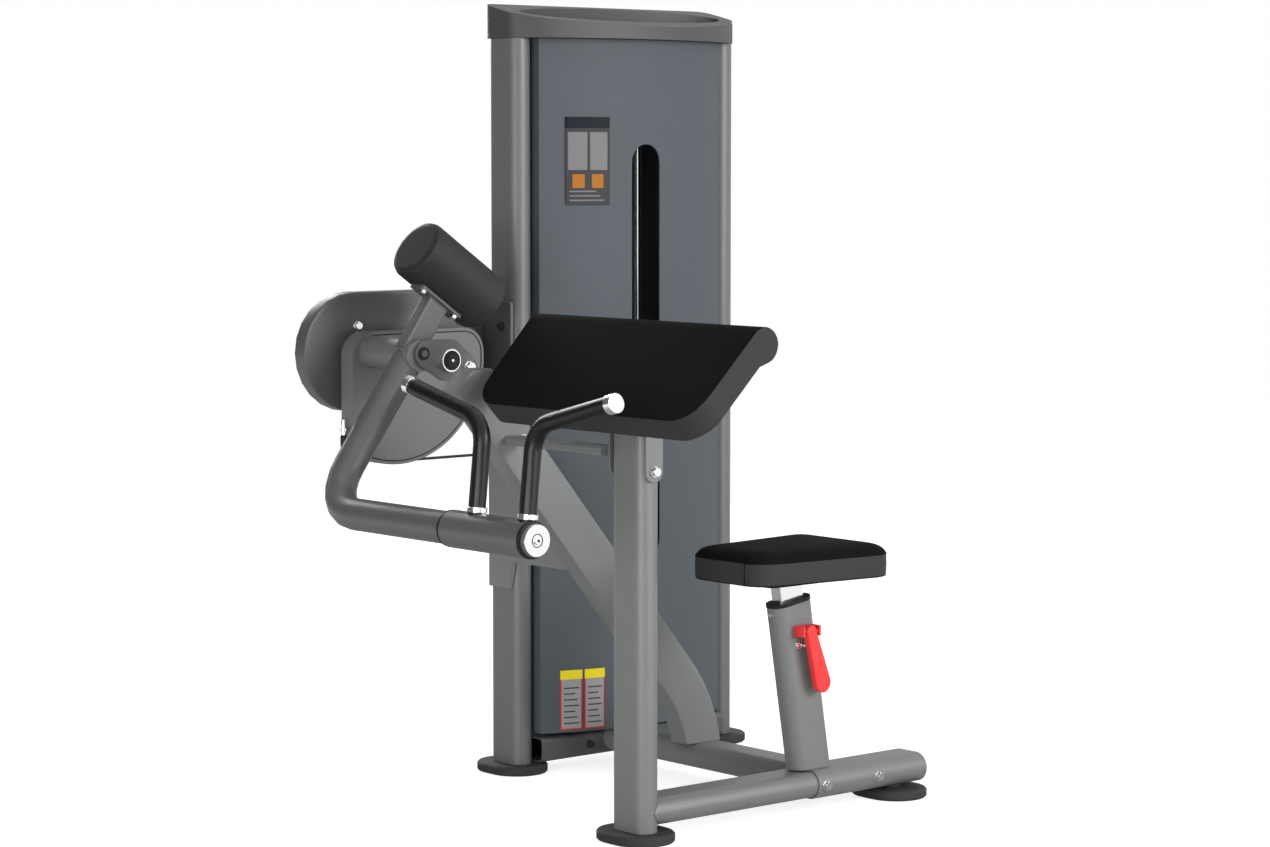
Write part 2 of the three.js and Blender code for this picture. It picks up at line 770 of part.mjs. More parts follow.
const sideY = new THREE.Vector3(0, 1, 0);
const cableRound = ringSection(cableRadius, smallRoundSteps / 2);
const cableTopZ = topPulleyZ + pulleyPath;
add("cable_run", sweep(roundedPath([
  at(hubX, cableZ),
  at(riseX, cableZ),
  at(riseX, cableTopZ),
  at(towerX, cableTopZ),
  at(towerX, topPulleyZ),
], pulleyPath - rest), sideY, cableRound), cableBlack);

// Weight stack
const stackNearY = cableY - plateDeep / 2;
const stackFarY = cableY + plateDeep / 2;
const stackLeft = towerX - plateWide / 2;
const stackRight = towerX + plateWide / 2;
const rodHoles = [-rodOffset, 0, rodOffset].map((x) => {
  const radius = (x === 0 ? stemRadius : rodRadius) + rodHoleFit;
  return alongZ(disc(radius, towerX + x, cableY), 0, uprightTopZ, smallRoundSteps);
});
function plates(lowZ, count) {
  const topZ = lowZ + count * platePitch - rest;
  const core = block(stackLeft + plateCoreInset, stackRight - plateCoreInset,
    stackNearY + plateCoreInset, stackFarY - plateCoreInset, lowZ, topZ);
  const slabs = Array.from({ length: count }, (_, i) => {
    const low = lowZ + i * platePitch;
    return block(stackLeft, stackRight, stackNearY, stackFarY,
      low, low + platePitch - (i + 1 < count ? plateGroove : rest));
  });
  return cut(join(core, ...slabs), ...rodHoles);
}
const liftedLowZ = stackBottomZ + lowerPlates * platePitch;
const headLowZ = liftedLowZ + liftedPlates * platePitch;
const pinZ = liftedLowZ + platePitch / 2;
const pinHole = alongY(disc(pinRadius + runFit, towerX, pinZ), stackNearY - rest, cableY, smallRoundSteps);
add("plates_resting", plates(stackBottomZ, lowerPlates), castGrey);
add("plates_lifted", cut(plates(liftedLowZ, liftedPlates), pinHole), castGrey);
const headTopZ = headLowZ + headHigh;
const dropLowZ = headTopZ + hitchHigh;
const stemLowZ = stackBottomZ + platePitch;
const stemHole = alongY(disc(pinRadius + runFit, towerX, pinZ), stackNearY, stackFarY, smallRoundSteps);
add("stack_head", join(
  cut(
    block(stackLeft, stackRight, stackNearY, stackFarY, headLowZ, headTopZ),
    rodHoles[0],
    rodHoles[2],
  ),
  cut(alongZ(disc(stemRadius, towerX, cableY), stemLowZ, headLowZ + headHigh / 2, smallRoundSteps), stemHole),
  alongZ(disc(hitchRadius, towerX, cableY), headLowZ + headHigh / 2, dropLowZ - rest, smallRoundSteps),
), castGrey);
const pinTipY = cableY + stemRadius / 2;
add("selector_pin", join(
  alongY(disc(pinRadius, towerX, pinZ), stackNearY - pinReach, pinTipY, smallRoundSteps),
  alongY(disc(pinKnobRadius, towerX, pinZ), stackNearY - pinReach - pinKnobLong / 2,
    stackNearY - pinReach + pinKnobLong / 2, smallRoundSteps),
), chrome);
add("cable_drop", alongZ(
  disc(cableRadius, towerX, cableY), dropLowZ, topPulleyZ - rest, smallRoundSteps / 2), cableBlack);
for (const [name, x] of [["left", -rodOffset], ["right", rodOffset]]) {
  add("guide_rod_" + name, alongZ(
    disc(rodRadius, towerX + x, cableY), towerFloorZ, rodBeamZ - rest, smallRoundSteps), chrome);
}

add("rod_beam", cut(
  block(innerLeft + rest, innerRight - rest, cableY - rodBeamDeep / 2, cableY + rodBeamDeep / 2,
    rodBeamZ, rodBeamZ + rodBeamHigh),
  ...[riseX, towerX].map((x) => alongZ(
    disc(cableRadius * 2, x, cableY), rodBeamZ - rest, rodBeamZ + rodBeamHigh + rest, smallRoundSteps)),
), frameGrey);
add("stack_base", cut(
  block(stackLeft, stackRight, stackNearY, crossbarNearY + crossbarDeep, towerFloorZ, stackBottomZ - rest),
  ...rodHoles,
), footBlack);

// Swan neck and its plates
const slopeDown = new THREE.Vector2(Math.cos(neckSlope), -Math.sin(neckSlope));
const slopeSide = new THREE.Vector2(Math.sin(neckSlope), Math.cos(neckSlope));
const neckCornerZ = neckPassZ - (neckFootX - neckPassX) * Math.tan(neckSlope);
const neckTurn = Math.PI / 2 - neckSlope;
const neckRun = neckBend * Math.tan(neckTurn / 2);
const neckCorner = new THREE.Vector2(neckFootX, neckCornerZ);
const bendStart = neckCorner.clone().addScaledVector(slopeDown, -neckRun);
const bendCentre = bendStart.clone().addScaledVector(slopeSide, -neckBend);
const neckEdgeLine = (offset) => {
  const points = [];
  for (let i = 0; i <= bendSteps * 2; i += 1) {
    const angle = neckSlope + neckTurn * i / (bendSteps * 2);
    const reach = neckBend + offset;
    points.push([
      bendCentre.x + reach * Math.sin(angle),
      bendCentre.y + reach * Math.cos(angle),
    ]);
  }
  return points;
};
const neckHalf = neckWide / 2;
const neckStock = alongY(polygon([
  [neckHeadLeftX, neckHeadLeftZ],
  ...neckEdgeLine(-neckHalf),
  ...neckEdgeLine(neckHalf).reverse(),
  [neckNoseX, neckNoseZ],
  [neckNoseTopX, neckNoseTopZ],
  [neckTopRightX, neckTopRightZ],
  [neckTopLeftX, neckTopLeftZ],
]), neckNearY, neckNearY + neckThick, arcSteps, neckEdge);
const railTopZ = railMidZ + ovalShort / 2;
add("swan_neck", cut(neckStock, block(-skyHigh, towerX * 2, 0, towerY, -skyHigh, railTopZ + rest)), frameGrey);

const gussetX = leftX - ovalShort / 2 - rest;
const neckFarY = neckNearY + neckThick;
const gusset = alongX(polygon([
  [neckFarY + rest, cableZ - gussetLowDrop],
  [towerY - gussetStepBack, cableZ - gussetStepDrop],
  [towerY - gussetFootBack, cableZ - gussetFootDrop],
  [towerY + gussetReach, cableZ - gussetFootDrop],
  [towerY + gussetReach, cableZ + gussetTopRise],
  [towerY - gussetTopBack, cableZ + gussetTopRise],
  [neckFarY + rest, cableZ - gussetInnerDrop],
]), gussetX - gussetThick, gussetX);
add("neck_gusset", cut(gusset, cableSlot), frameGrey);
add("side_plate", alongX(
  roundedBox(sidePlateDeep, sidePlateHigh, sidePlateRound, towerY + sidePlateBack, hubZ + sidePlateRise),
  gussetX - gussetThick, gussetX, plateSteps, plateEdge), frameGrey);

// Pad brackets, link bar and pad
const plateNear = ovalLong / 2 + rest;
const bracketShape = (lowZ) => hull([
  [0, lowZ + bracketWide / 2, bracketWide / 2],
  [0, padRollZ, bracketWide / 2],
]);
add("pad_bracket_near", cut(
  alongY(bracketShape(bracketNearLowZ), -plateNear - bracketThick, -plateNear), padSky), frameGrey);
add("pad_bracket_far", cut(
  alongY(bracketShape(bracketNearLowZ + bracketThick), plateNear, plateNear + bracketThick), padSky),
frameGrey);
add("pad_link_bar", alongY(
  roundedBox(linkBarWide, linkBarHigh, linkBarHigh / 4, linkBarX, linkBarLowZ + linkBarHigh / 2),
  plateNear + bracketThick + rest, neckNearY - rest, bendSteps), frameGrey);
const boardHalf = padHalfLow - padCorner;
add("pad_board", alongY(padOutline([
  [-padFace + boardInset, boardLow],
  [-boardStart, boardLow],
  [-boardStart, boardTop],
  [-padFace + boardInset, boardTop],
]), -boardHalf, boardHalf), footBlack);

// One section of the arm pad at y, drawn in by a margin near its ends
function padSection(y, draw) {
  const shareDown = 0.5;
  const past = Math.max(0, Math.abs(y) - (padHalfLow - padCorner));
  const lift = padCorner - Math.sqrt(Math.max(0, padCorner ** 2 - Math.min(past, padCorner) ** 2));
  const low = -padFace + lift * (1 - draw / padCorner) + draw;
  const face = -draw;
  const back = -padThick + draw;
  const roll = padRoll - draw;
  const points = [];
  const arc = (s, n, radius, from, to, steps) => {
    for (let i = 0; i <= steps; i += 1) {
      const angle = from + (to - from) * i / steps;
      points.push([s + radius * Math.cos(angle), n + radius * Math.sin(angle)]);
    }
  };
  arc(low + padEdge, back + padEdge, padEdge, -Math.PI / 2, -Math.PI, 3);
  arc(low + padEdge, face - padEdge, padEdge, Math.PI, Math.PI / 2, 3);
  points.push([low * shareDown, face]);
  arc(0, -padRoll, roll, Math.PI / 2, -Math.PI / 2 - Math.PI / 6, 9);
  points.push([-padRoll - draw, back]);
  points.push([low * shareDown, back]);
  return points.map(([s, n]) => padPoint(s, n, y));
}
const padRings = [];
const padLevels = [
  [0, 6 * mm], [2 * mm, 2.5 * mm], [6 * mm, 0], [14 * mm, 0], [26 * mm, 0], [42 * mm, 0], [66 * mm, 0],
];
for (const [inset, draw] of padLevels) padRings.push(padSection(-padHalfTop + inset, draw));
for (const [inset, draw] of padLevels.slice().reverse()) padRings.push(padSection(padHalfTop - inset, draw));
add("arm_pad", loft(padRings), padBlack);

// Pivot housing, shaft and hub
add("pivot_housing", alongY(hull([
  [housingLeftX, housingZ, housingRadius],
  [housingRightX, housingZ, housingRadius],
]), housingNearY, housingNearY + housingThick, arcSteps, housingEdge), capGrey);
const camFarY = camNearY + camThick;
const hubDisc = (radius, near, far, steps = roundSteps) => alongY(disc(radius, hubX, hubZ), near, far, steps);
add("pivot_shaft", join(
  hubDisc(hubRadius, camFarY + rest, housingNearY - rest),
  hubDisc(shaftRadius, crankNearY, camFarY + 2 * rest),
), chrome);
const hubBore = hubDisc(shaftRadius + runFit, crankNearY - hubCapLong, camFarY + rest);
const crankFarY = crankNearY + crankThick;
add("hub_sleeve", cut(hubDisc(hubRadius, crankFarY + rest, camNearY - rest), hubBore), frameGrey);
add("crank_plate", cut(
  alongY(hull([
    [hubX, hubZ, crankRadius],
    [hubX - crankLeftLong, hubZ + crankLeftRise, crankLeftRadius],
    [hubX + crankRightLong, hubZ - crankRightDrop, crankRightRadius],
  ]), crankNearY, crankFarY),
  hubBore,
  alongY(disc(crankHoleRadius, hubX - crankHoleLong, hubZ + crankHoleRise),
    crankNearY - rest, crankFarY + rest, smallRoundSteps),
), frameGrey);
add("hub_cap", cut(
  hubDisc(hubCapRadius, crankNearY - rest - hubCapLong, crankNearY - rest),
  hubDisc(hubCapRadius * hubCapBore, crankNearY - 2 * rest - hubCapLong, crankNearY - hubCapLong / 2),
), chrome);
// Cam with its cable groove
function camOutline(radius) {
  const points = [];
  const steps = roundSteps;
  for (let i = 0; i <= steps; i += 1) {
    const turn = camArcStart + (camArcEnd - camArcStart) * i / steps;
    points.push([hubX + radius * Math.cos(turn), hubZ + radius * Math.sin(turn)]);
  }
  const corner = (u, v, start, end) => {
    for (let i = 0; i <= bendSteps; i += 1) {
      const turn = start + (end - start) * i / bendSteps;
      points.push([u + camTopRound * Math.cos(turn), v + camTopRound * Math.sin(turn)]);
    }
  };
  points.push([hubX - camLeft, hubZ - radius * camHeelShare]);
  corner(hubX - camLeft + camTopRound, hubZ + camTop - camTopRound, Math.PI, Math.PI / 2);
  corner(hubX + radius - camTopRound - camShoulder, hubZ + camTop - camTopRound, Math.PI / 2, 0);
  return polygon(points.reverse());
}
const grooveNear = cableY - camGroove / 2;
const grooveFar = cableY + camGroove / 2;
const grooveBottom = camRadius - 2 * cableRadius - camCableSink - rest;
add("cam", cut(
  join(
    alongY(camOutline(camRadius), camNearY, grooveNear),
    alongY(camOutline(grooveBottom), grooveNear, grooveFar),
    alongY(camOutline(camRadius), grooveFar, camFarY),
  ),
  hubBore,
), frameGrey);
const camCable = camRadius - cableRadius - camCableSink;
const camPath = [];
for (let i = 0; i <= bendSteps; i += 1) {
  const turn = camCableStart + camCableSweep * i / bendSteps;
  camPath.push(at(hubX + camCable * Math.cos(turn), hubZ + camCable * Math.sin(turn)));
}
add("cable_on_cam", sweep(camPath, sideY, cableRound), cableBlack);
// Curl arm
const legEnd = new THREE.Vector3(crossX, legY, crossZ);
const legStart = new THREE.Vector3(lowerX, legY, lowerZ);
const armCorners = [new THREE.Vector3(lowerX, lowerEndY, lowerZ), legStart, legEnd];
const armSide = sideY.clone().cross(legEnd.clone().sub(legStart)).normalize();
const armPath = roundedPath(armCorners, armBend);
const crossTube = (grow) => alongY(
  disc(armRadius + grow, crossX, crossZ), crankFarY + rest - grow, camNearY - rest + grow, roundSteps);
add("curl_arm", cut(
  sweep(armPath, armSide, ringSection(armRadius)),
  sweep(roundedPath([
    new THREE.Vector3(lowerX, lowerEndY - rest, lowerZ),
    legStart,
    legEnd.clone().add(legEnd.clone().sub(legStart).multiplyScalar(armOverrun)),
  ], armBend), armSide, ringSection(armRadius - armWall, smallRoundSteps)),
  crossTube(rest),
), frameGrey);
add("cross_tube", cut(
  crossTube(0),
  hubDisc(hubRadius + rest, crankNearY, camFarY),
), frameGrey);
add("arm_end_cap", join(
  alongY(disc(armRadius - endCapSeat, lowerX, lowerZ), lowerEndY - rest - endCapThick, lowerEndY - rest, roundSteps),
  alongY(disc(endCapStud, lowerX, lowerZ), lowerEndY - 2 * endCapThick, lowerEndY - endCapThick, smallRoundSteps),
), chrome);

// Counterweight on its post
const weightAway = new THREE.Vector3(Math.sin(weightTilt), 0, Math.cos(weightTilt));
const weightAxis = new THREE.Vector3(Math.cos(weightTilt), 0, -Math.sin(weightTilt));
const weightMid = new THREE.Vector3(weightX, legY, weightZ);
const weightStock = alongZ(disc(weightRadius), -weightLong / 2, weightLong / 2, roundSteps, weightEdge);
const flatTool = block(-2 * weightRadius, -weightFlat, -weightRadius, weightRadius, -weightLong, weightLong);
const weightTurn = new THREE.Matrix4()
  .makeBasis(weightAway, sideY, weightAway.clone().cross(sideY))
  .setPosition(weightMid);
add("counterweight", cut(weightStock, flatTool).transform(weightTurn.elements), castGrey);
const postReach = weightMid.distanceTo(new THREE.Vector3(crossX, legY, crossZ));
const postStockW = alongZ(
  roundedBox(weightPostWide, weightPostThick, weightPostRound), -postReach, -weightFlat - rest, plateSteps - 1);
const postTurn = new THREE.Matrix4()
  .makeBasis(weightAxis.clone().negate(), sideY.clone().negate(), weightAway)
  .setPosition(weightMid);
const postBlock = postStockW.transform(postTurn.elements);
const postPlate = alongZ(
  roundedBox(weightPlateLong, weightPlateWide, weightPlateThick),
  -weightFlat - rest - weightPlateThick, -weightFlat - rest, plateSteps - 1);
const postAll = cut(join(postBlock, postPlate.transform(postTurn.elements)), crossTube(rest))
  .decompose().sort((a, b) => b.volume() - a.volume())[0];
add("weight_post", cut(postAll, hubDisc(hubRadius + rest, crankNearY, camFarY)), frameGrey);

// Handle sleeve and the two grips
const sleeveTube = (outer, inner) => cut(
  alongY(disc(outer, lowerX, lowerZ), sleeveStartY, sleeveEndY, roundSteps),
  alongY(disc(inner, lowerX, lowerZ), sleeveStartY - rest, sleeveEndY + rest, roundSteps),
);
add("handle_sleeve", sleeveTube(sleeveOuter, armRadius + runFit), frameGrey);
const sleeveClear = alongY(disc(sleeveOuter + rest, lowerX, lowerZ), -skyHigh, skyHigh, roundSteps);
for (const [name, way] of [["near", -1], ["far", 1]]) {
  const foot = new THREE.Vector3(lowerX, gripFootY * way, lowerZ + sleeveOuter / 2);
  const elbow = new THREE.Vector3(gripElbowX, gripFootY * way, gripElbowZ);
  const tip = new THREE.Vector3(gripTipX, gripTipY * way, gripTipZ);
  const rise = elbow.clone().sub(foot);
  const reach = tip.clone().sub(elbow);
  const side = rise.clone().cross(reach).normalize();
  const rod = sweep(roundedPath([foot, elbow, tip], gripBend), side, ringSection(gripRadius, roundSteps / 2));
  add("grip_" + name, cut(rod, sleeveClear), padBlack);
}

// Seat post, bush and stem, all leaning together
const leanTop = new THREE.Vector3(-Math.sin(seatLean), 0, Math.cos(seatLean));
const seatBase = new THREE.Vector3(seatPostX, 0, seatPostZ);
const leanSolid = (solid) => placeLean(solid, -seatLean, seatBase.x, seatBase.y, seatBase.z);
const seatClear = block(0, railEndX, -ovalLong, ovalLong, 0, railMidZ + sleeveHigh / 2 + rest);
const lockX = seatPostX - (lockZ - seatPostZ) * Math.tan(seatLean);
const lockBore = alongY(disc(lockRadius + runFit, lockX, lockZ), -ovalShort, 0, smallRoundSteps);
add("seat_post", cut(
  leanSolid(alongZ(stadium(ovalLong, ovalShort), -ovalShort, seatPostLong)),
  leanSolid(alongZ(
    stadium(ovalLong - 2 * tubeWall, ovalShort - 2 * tubeWall), -ovalLong, seatPostLong + rest)),
  seatClear,
  lockBore,
), frameGrey);
const stemShape = (grow) => roundedBox(stemWide + grow, stemThick + grow, stemCorner);
add("seat_bush", cut(
  leanSolid(join(
    alongZ(stadium(ovalLong - 2 * tubeWall - 2 * rest, ovalShort - 2 * tubeWall - 2 * rest),
      seatPostLong - bushLong, seatPostLong + 2 * rest),
    alongZ(stadium(ovalLong + bushOver, ovalShort + bushOver), seatPostLong + rest, seatPostLong + bushLip),
  )),
  leanSolid(alongZ(stemShape(2 * runFit), 0, seatPostLong * 2, 2)),
  lockBore,
), footBlack);
const seatStem = cut(
  leanSolid(alongZ(stemShape(0), stemStart, seatPostLong * 2, 2)),
  block(0, railEndX, -ovalLong, ovalLong, seatPlateLowZ - rest, seatPlateLowZ * 2),
);
add("seat_stem", seatStem, chrome);
add("seat_plate", alongZ(
  roundedBox(seatPlateLong, seatPlateWide, seatPlateRound, seatPlateX, 0),
  seatPlateLowZ, seatPlateLowZ + seatPlateThick, plateSteps),
footBlack);

// Seat cushion
function seatRing(draw, z) {
  const points = [];
  const radius = seatCorner;
  const corner = (x, y, from) => {
    for (let i = 0; i <= bendSteps; i += 1) {
      const turn = from + Math.PI / 2 * i / bendSteps;
      points.push(new THREE.Vector3(
        x + (radius - draw) * Math.cos(turn), y + (radius - draw) * Math.sin(turn), z));
    }
  };
  corner(seatRearX - radius, seatHalfRear - radius, 0);
  corner(seatFrontX + radius, seatHalfFront - radius, Math.PI / 2);
  corner(seatFrontX + radius, radius - seatHalfFront, Math.PI);
  corner(seatRearX - radius, radius - seatHalfRear, Math.PI * 3 / 2);
  return points;
}
const seatLowZ = seatPlateLowZ + seatPlateThick + rest;
const seatLevels = [
  [5 * mm, 0], [0.5 * mm, 0.05], [0, 0.16], [0, 0.62], [1 * mm, 0.7], [7 * mm, 0.82], [20 * mm, 0.93], [44 * mm, 1],
];
add("seat_cushion", loft(seatLevels.map(([draw, share]) => seatRing(draw, seatLowZ + seatHigh * share))), padBlack);

// Height lever, its bracket and the lock pin
const leverInnerY = leverY + leverThick / 2;
const postFaceY = -ovalShort / 2 - rest;
const ear = (x) => block(x, x + leverEarThick, leverY - leverEarNear, postFaceY - rest,
  leverZ - leverEarHalf, leverZ + leverEarHalf);
add("lever_bracket", join(
  block(leverX - leverEarInner - leverEarThick, leverX + leverEarInner + leverEarThick,
    postFaceY - leverPadThick, postFaceY, leverZ - leverEarHalf, leverZ + leverEarHalf),
  ear(leverX - leverEarInner - leverEarThick),
  ear(leverX + leverEarInner),
  alongX(disc(leverPinRadius, leverY, leverZ), leverX - leverEarInner - rest, leverX + leverEarInner + rest,
    smallRoundSteps),
), leverRed);
add("height_lever", cut(
  alongY(hull([
    [leverX, leverZ, leverTopRadius],
    [leverLowX, leverLowZ, leverLowRadius],
  ]), leverY - leverThick / 2, leverInnerY, arcSteps, leverEdge),
  alongX(disc(leverPinRadius + runFit, leverY, leverZ), leverX - leverEarInner, leverX + leverEarInner,
    smallRoundSteps),
), leverRed);
add("lock_pin", alongY(
  disc(lockRadius, lockX, lockZ), leverInnerY + lockGap, -stemThick / 2 - rest, smallRoundSteps), chrome);

// The frame's origin: middle of the box's bottom
const extent = new THREE.Box3().setFromObject(group);
const centre = extent.getCenter(new THREE.Vector3());
group.children.forEach((mesh) => mesh.geometry.translate(-centre.x, -centre.y, -extent.min.z));

export default group;
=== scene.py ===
import json
import math

import bmesh
import bpy
import numpy as np
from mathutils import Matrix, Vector


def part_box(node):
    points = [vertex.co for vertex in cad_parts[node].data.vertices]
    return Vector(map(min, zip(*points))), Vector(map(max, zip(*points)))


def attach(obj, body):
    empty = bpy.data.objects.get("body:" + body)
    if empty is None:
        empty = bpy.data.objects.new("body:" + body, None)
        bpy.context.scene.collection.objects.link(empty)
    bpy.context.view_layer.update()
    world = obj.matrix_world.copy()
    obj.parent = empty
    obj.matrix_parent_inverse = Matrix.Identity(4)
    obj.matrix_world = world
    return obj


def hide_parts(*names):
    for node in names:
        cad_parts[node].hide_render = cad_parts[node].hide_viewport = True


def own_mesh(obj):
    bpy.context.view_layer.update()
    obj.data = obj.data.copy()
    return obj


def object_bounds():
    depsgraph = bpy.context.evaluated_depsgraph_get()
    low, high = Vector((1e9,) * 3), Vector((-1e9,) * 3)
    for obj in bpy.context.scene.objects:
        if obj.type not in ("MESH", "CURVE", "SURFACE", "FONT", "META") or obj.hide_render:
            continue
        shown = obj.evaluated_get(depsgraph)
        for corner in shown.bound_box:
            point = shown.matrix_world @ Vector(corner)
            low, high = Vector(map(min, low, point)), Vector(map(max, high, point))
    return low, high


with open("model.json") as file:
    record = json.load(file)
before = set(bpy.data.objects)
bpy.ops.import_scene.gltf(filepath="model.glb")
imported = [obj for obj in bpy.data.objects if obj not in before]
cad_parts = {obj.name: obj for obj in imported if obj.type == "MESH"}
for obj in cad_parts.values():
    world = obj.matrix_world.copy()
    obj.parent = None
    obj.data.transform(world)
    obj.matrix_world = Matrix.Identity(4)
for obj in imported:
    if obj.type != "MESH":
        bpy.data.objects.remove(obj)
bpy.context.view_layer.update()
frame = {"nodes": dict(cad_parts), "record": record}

nodes = frame["nodes"]
scene = bpy.context.scene

# The front post's centre on the floor, in the frame of the part
ORIGIN = Vector((-0.251, -0.22115, 0.0))
TO_FRONT, TO_BACK, TO_LEFT, TO_TOP = (0, -1, 0), (0, 1, 0), (-1, 0, 0), (0, 0, 1)


def at(x, y, z):
    """A point given in millimetres from the front post's foot."""
    return ORIGIN + Vector((x, y, z)) / 1000


def arc(u, v, radius, start, end, steps):
    """Points of an arc about (u, v), its angles in degrees."""
    turns = [math.radians(start + (end - start) * i / steps) for i in range(steps + 1)]
    return [(u + radius * math.cos(t), v + radius * math.sin(t)) for t in turns]


# Materials
def add_node(tree, kind, **values):
    """A new node, with its inputs set by name or, as in_0, by number."""
    node = tree.nodes.new(kind)
    for key, value in values.items():
        socket = int(key[3:]) if key.startswith("in_") else key.replace("_", " ")
        node.inputs[socket].default_value = value
    return node


# The patches of tone are this many times coarser than the grain
PATCH_SHARE = 40


def add_grain(tree, bsdf, scale, bump, tone=0.0, rough=0.0, fine=0.0008, round_by=0.0015):
    """Rounded edges and fine surface grain: a bump, a slight change of tone and of gloss."""
    place = tree.nodes.new("ShaderNodeTexCoord")
    noise = add_node(tree, "ShaderNodeTexNoise", Scale=scale, Detail=4)
    tree.links.new(place.outputs["Object"], noise.inputs["Vector"])
    round_edge = add_node(tree, "ShaderNodeBevel", Radius=round_by)
    round_edge.samples = 4
    bumper = add_node(tree, "ShaderNodeBump", Strength=bump, Distance=fine)
    tree.links.new(noise.outputs["Fac"], bumper.inputs["Height"])
    tree.links.new(round_edge.outputs["Normal"], bumper.inputs["Normal"])
    tree.links.new(bumper.outputs["Normal"], bsdf.inputs["Normal"])
    if tone:
        patches = add_node(tree, "ShaderNodeTexNoise", Scale=scale / PATCH_SHARE, Detail=6)
        tree.links.new(place.outputs["Object"], patches.inputs["Vector"])
        base = bsdf.inputs["Base Color"].default_value[:3]
        mix = tree.nodes.new("ShaderNodeMix")
        mix.data_type = "RGBA"
        mix.inputs[6].default_value = (*[c * (1 - tone) for c in base], 1)
        mix.inputs[7].default_value = (*[c * (1 + tone) for c in base], 1)
        tree.links.new(patches.outputs["Fac"], mix.inputs[0])
        tree.links.new(mix.outputs[2], bsdf.inputs["Base Color"])
    if rough:
        middle = bsdf.inputs["Roughness"].default_value
        spread = add_node(tree, "ShaderNodeMapRange", To_Min=middle - rough, To_Max=middle + rough)
        tree.links.new(noise.outputs["Fac"], spread.inputs["Value"])
        tree.links.new(spread.outputs["Result"], bsdf.inputs["Roughness"])


MATS = {}


def new_material(name, color, roughness, grain, metallic=0.0, coat=0.0, shine=0.5):
    """A surface with its grain, kept in MATS under its name."""
    mat = bpy.data.materials.new(name)
    mat.use_nodes = True
    bsdf = mat.node_tree.nodes["Principled BSDF"]
    bsdf.inputs["Base Color"].default_value = (*color, 1)
    bsdf.inputs["Roughness"].default_value = roughness
    bsdf.inputs["Metallic"].default_value = metallic
    bsdf.inputs["Coat Weight"].default_value = coat
    bsdf.inputs["Specular IOR Level"].default_value = shine
    add_grain(mat.node_tree, bsdf, **grain)
    MATS[name] = mat


PAINT_GRAIN = dict(scale=900, bump=0.10, tone=0.06, rough=0.06)
PAD_GRAIN = dict(scale=420, bump=0.30, tone=0.12, rough=0.08, fine=0.0006)
SIGN_GRAIN = dict(scale=800, bump=0.02)

new_material("frame_paint", (0.195, 0.204, 0.200), 0.42, PAINT_GRAIN, metallic=0.15)
# Painted shade: darker copies of the frame paint, given to solids by TONES below
new_material("shaded_column_paint", (0.156, 0.163, 0.160), 0.42, PAINT_GRAIN, metallic=0.15)
new_material("shaded_arm_paint", (0.112, 0.118, 0.116), 0.38, PAINT_GRAIN, metallic=0.15)
new_material("shaded_cam_paint", (0.155, 0.163, 0.160), 0.42, PAINT_GRAIN, metallic=0.15)
new_material("deep_shaded_paint", (0.096, 0.102, 0.099), 0.42, PAINT_GRAIN, metallic=0.10)
new_material("shroud_paint", (0.086, 0.099, 0.112), 0.62,
             dict(scale=1100, bump=0.08, tone=0.04, rough=0.05), shine=0.30)
new_material("cap_plastic", (0.062, 0.063, 0.064), 0.50,
             dict(scale=700, bump=0.30, tone=0.05, rough=0.06))
new_material("pad_cover", (0.0070, 0.0070, 0.0074), 0.78, PAD_GRAIN, shine=0.05)
# The cushions' side band: the cover painted lighter, a painted light on the faces turned to the side
new_material("pad_lit_side", (0.037, 0.037, 0.038), 0.62, PAD_GRAIN, shine=0.18)
new_material("foot_rubber", (0.026, 0.026, 0.027), 0.72,
             dict(scale=600, bump=0.35, tone=0.10, rough=0.06))
new_material("chrome", (0.93, 0.94, 0.95), 0.16,
             dict(scale=300, bump=0.01, rough=0.03, round_by=0.0004), metallic=1.0)
new_material("dark_cast", (0.026, 0.027, 0.027), 0.60,
             dict(scale=500, bump=0.30, tone=0.08, rough=0.08), metallic=0.1, shine=0.30)
new_material("stack_iron", (0.012, 0.012, 0.013), 0.6,
             dict(scale=400, bump=0.40, tone=0.08, rough=0.08), metallic=0.2)
new_material("lever_red", (0.86, 0.030, 0.032), 0.34,
             dict(scale=500, bump=0.04, tone=0.03, rough=0.03), coat=0.3)
new_material("cable_cover", (0.020, 0.020, 0.021), 0.4,
             dict(scale=800, bump=0.10, tone=0.05, rough=0.05))
new_material("grip_rubber", (0.0060, 0.0060, 0.0064), 0.30,
             dict(scale=900, bump=0.35, tone=0.10, rough=0.06), shine=0.35)
new_material("black_plastic", (0.010, 0.010, 0.011), 0.5,
             dict(scale=700, bump=0.20, tone=0.05, rough=0.05, round_by=0.0005), shine=0.25)
new_material("sign_navy", (0.0030, 0.0060, 0.0120), 0.5, SIGN_GRAIN, shine=0.15)
new_material("sign_grey", (0.040, 0.039, 0.042), 0.5, SIGN_GRAIN, shine=0.20)
new_material("sign_pale", (0.200, 0.200, 0.205), 0.5, SIGN_GRAIN, shine=0.20)
new_material("sign_white", (0.34, 0.33, 0.33), 0.45, SIGN_GRAIN)
new_material("sign_orange", (0.42, 0.15, 0.012), 0.5, SIGN_GRAIN, shine=0.20)
new_material("sign_yellow", (0.90, 0.74, 0.012), 0.4, SIGN_GRAIN)
new_material("sign_red", (0.60, 0.030, 0.025), 0.4, SIGN_GRAIN)


# The solids' own surfaces
def read_values(items, key, width):
    """A number or vector of every item of a mesh, one row each."""
    values = np.zeros(len(items) * width)
    items.foreach_get(key, values)
    return values.reshape(-1, width)


# Corners that round to the same step of 0.05 mm count as one point
STEPS_PER_METRE = 20000


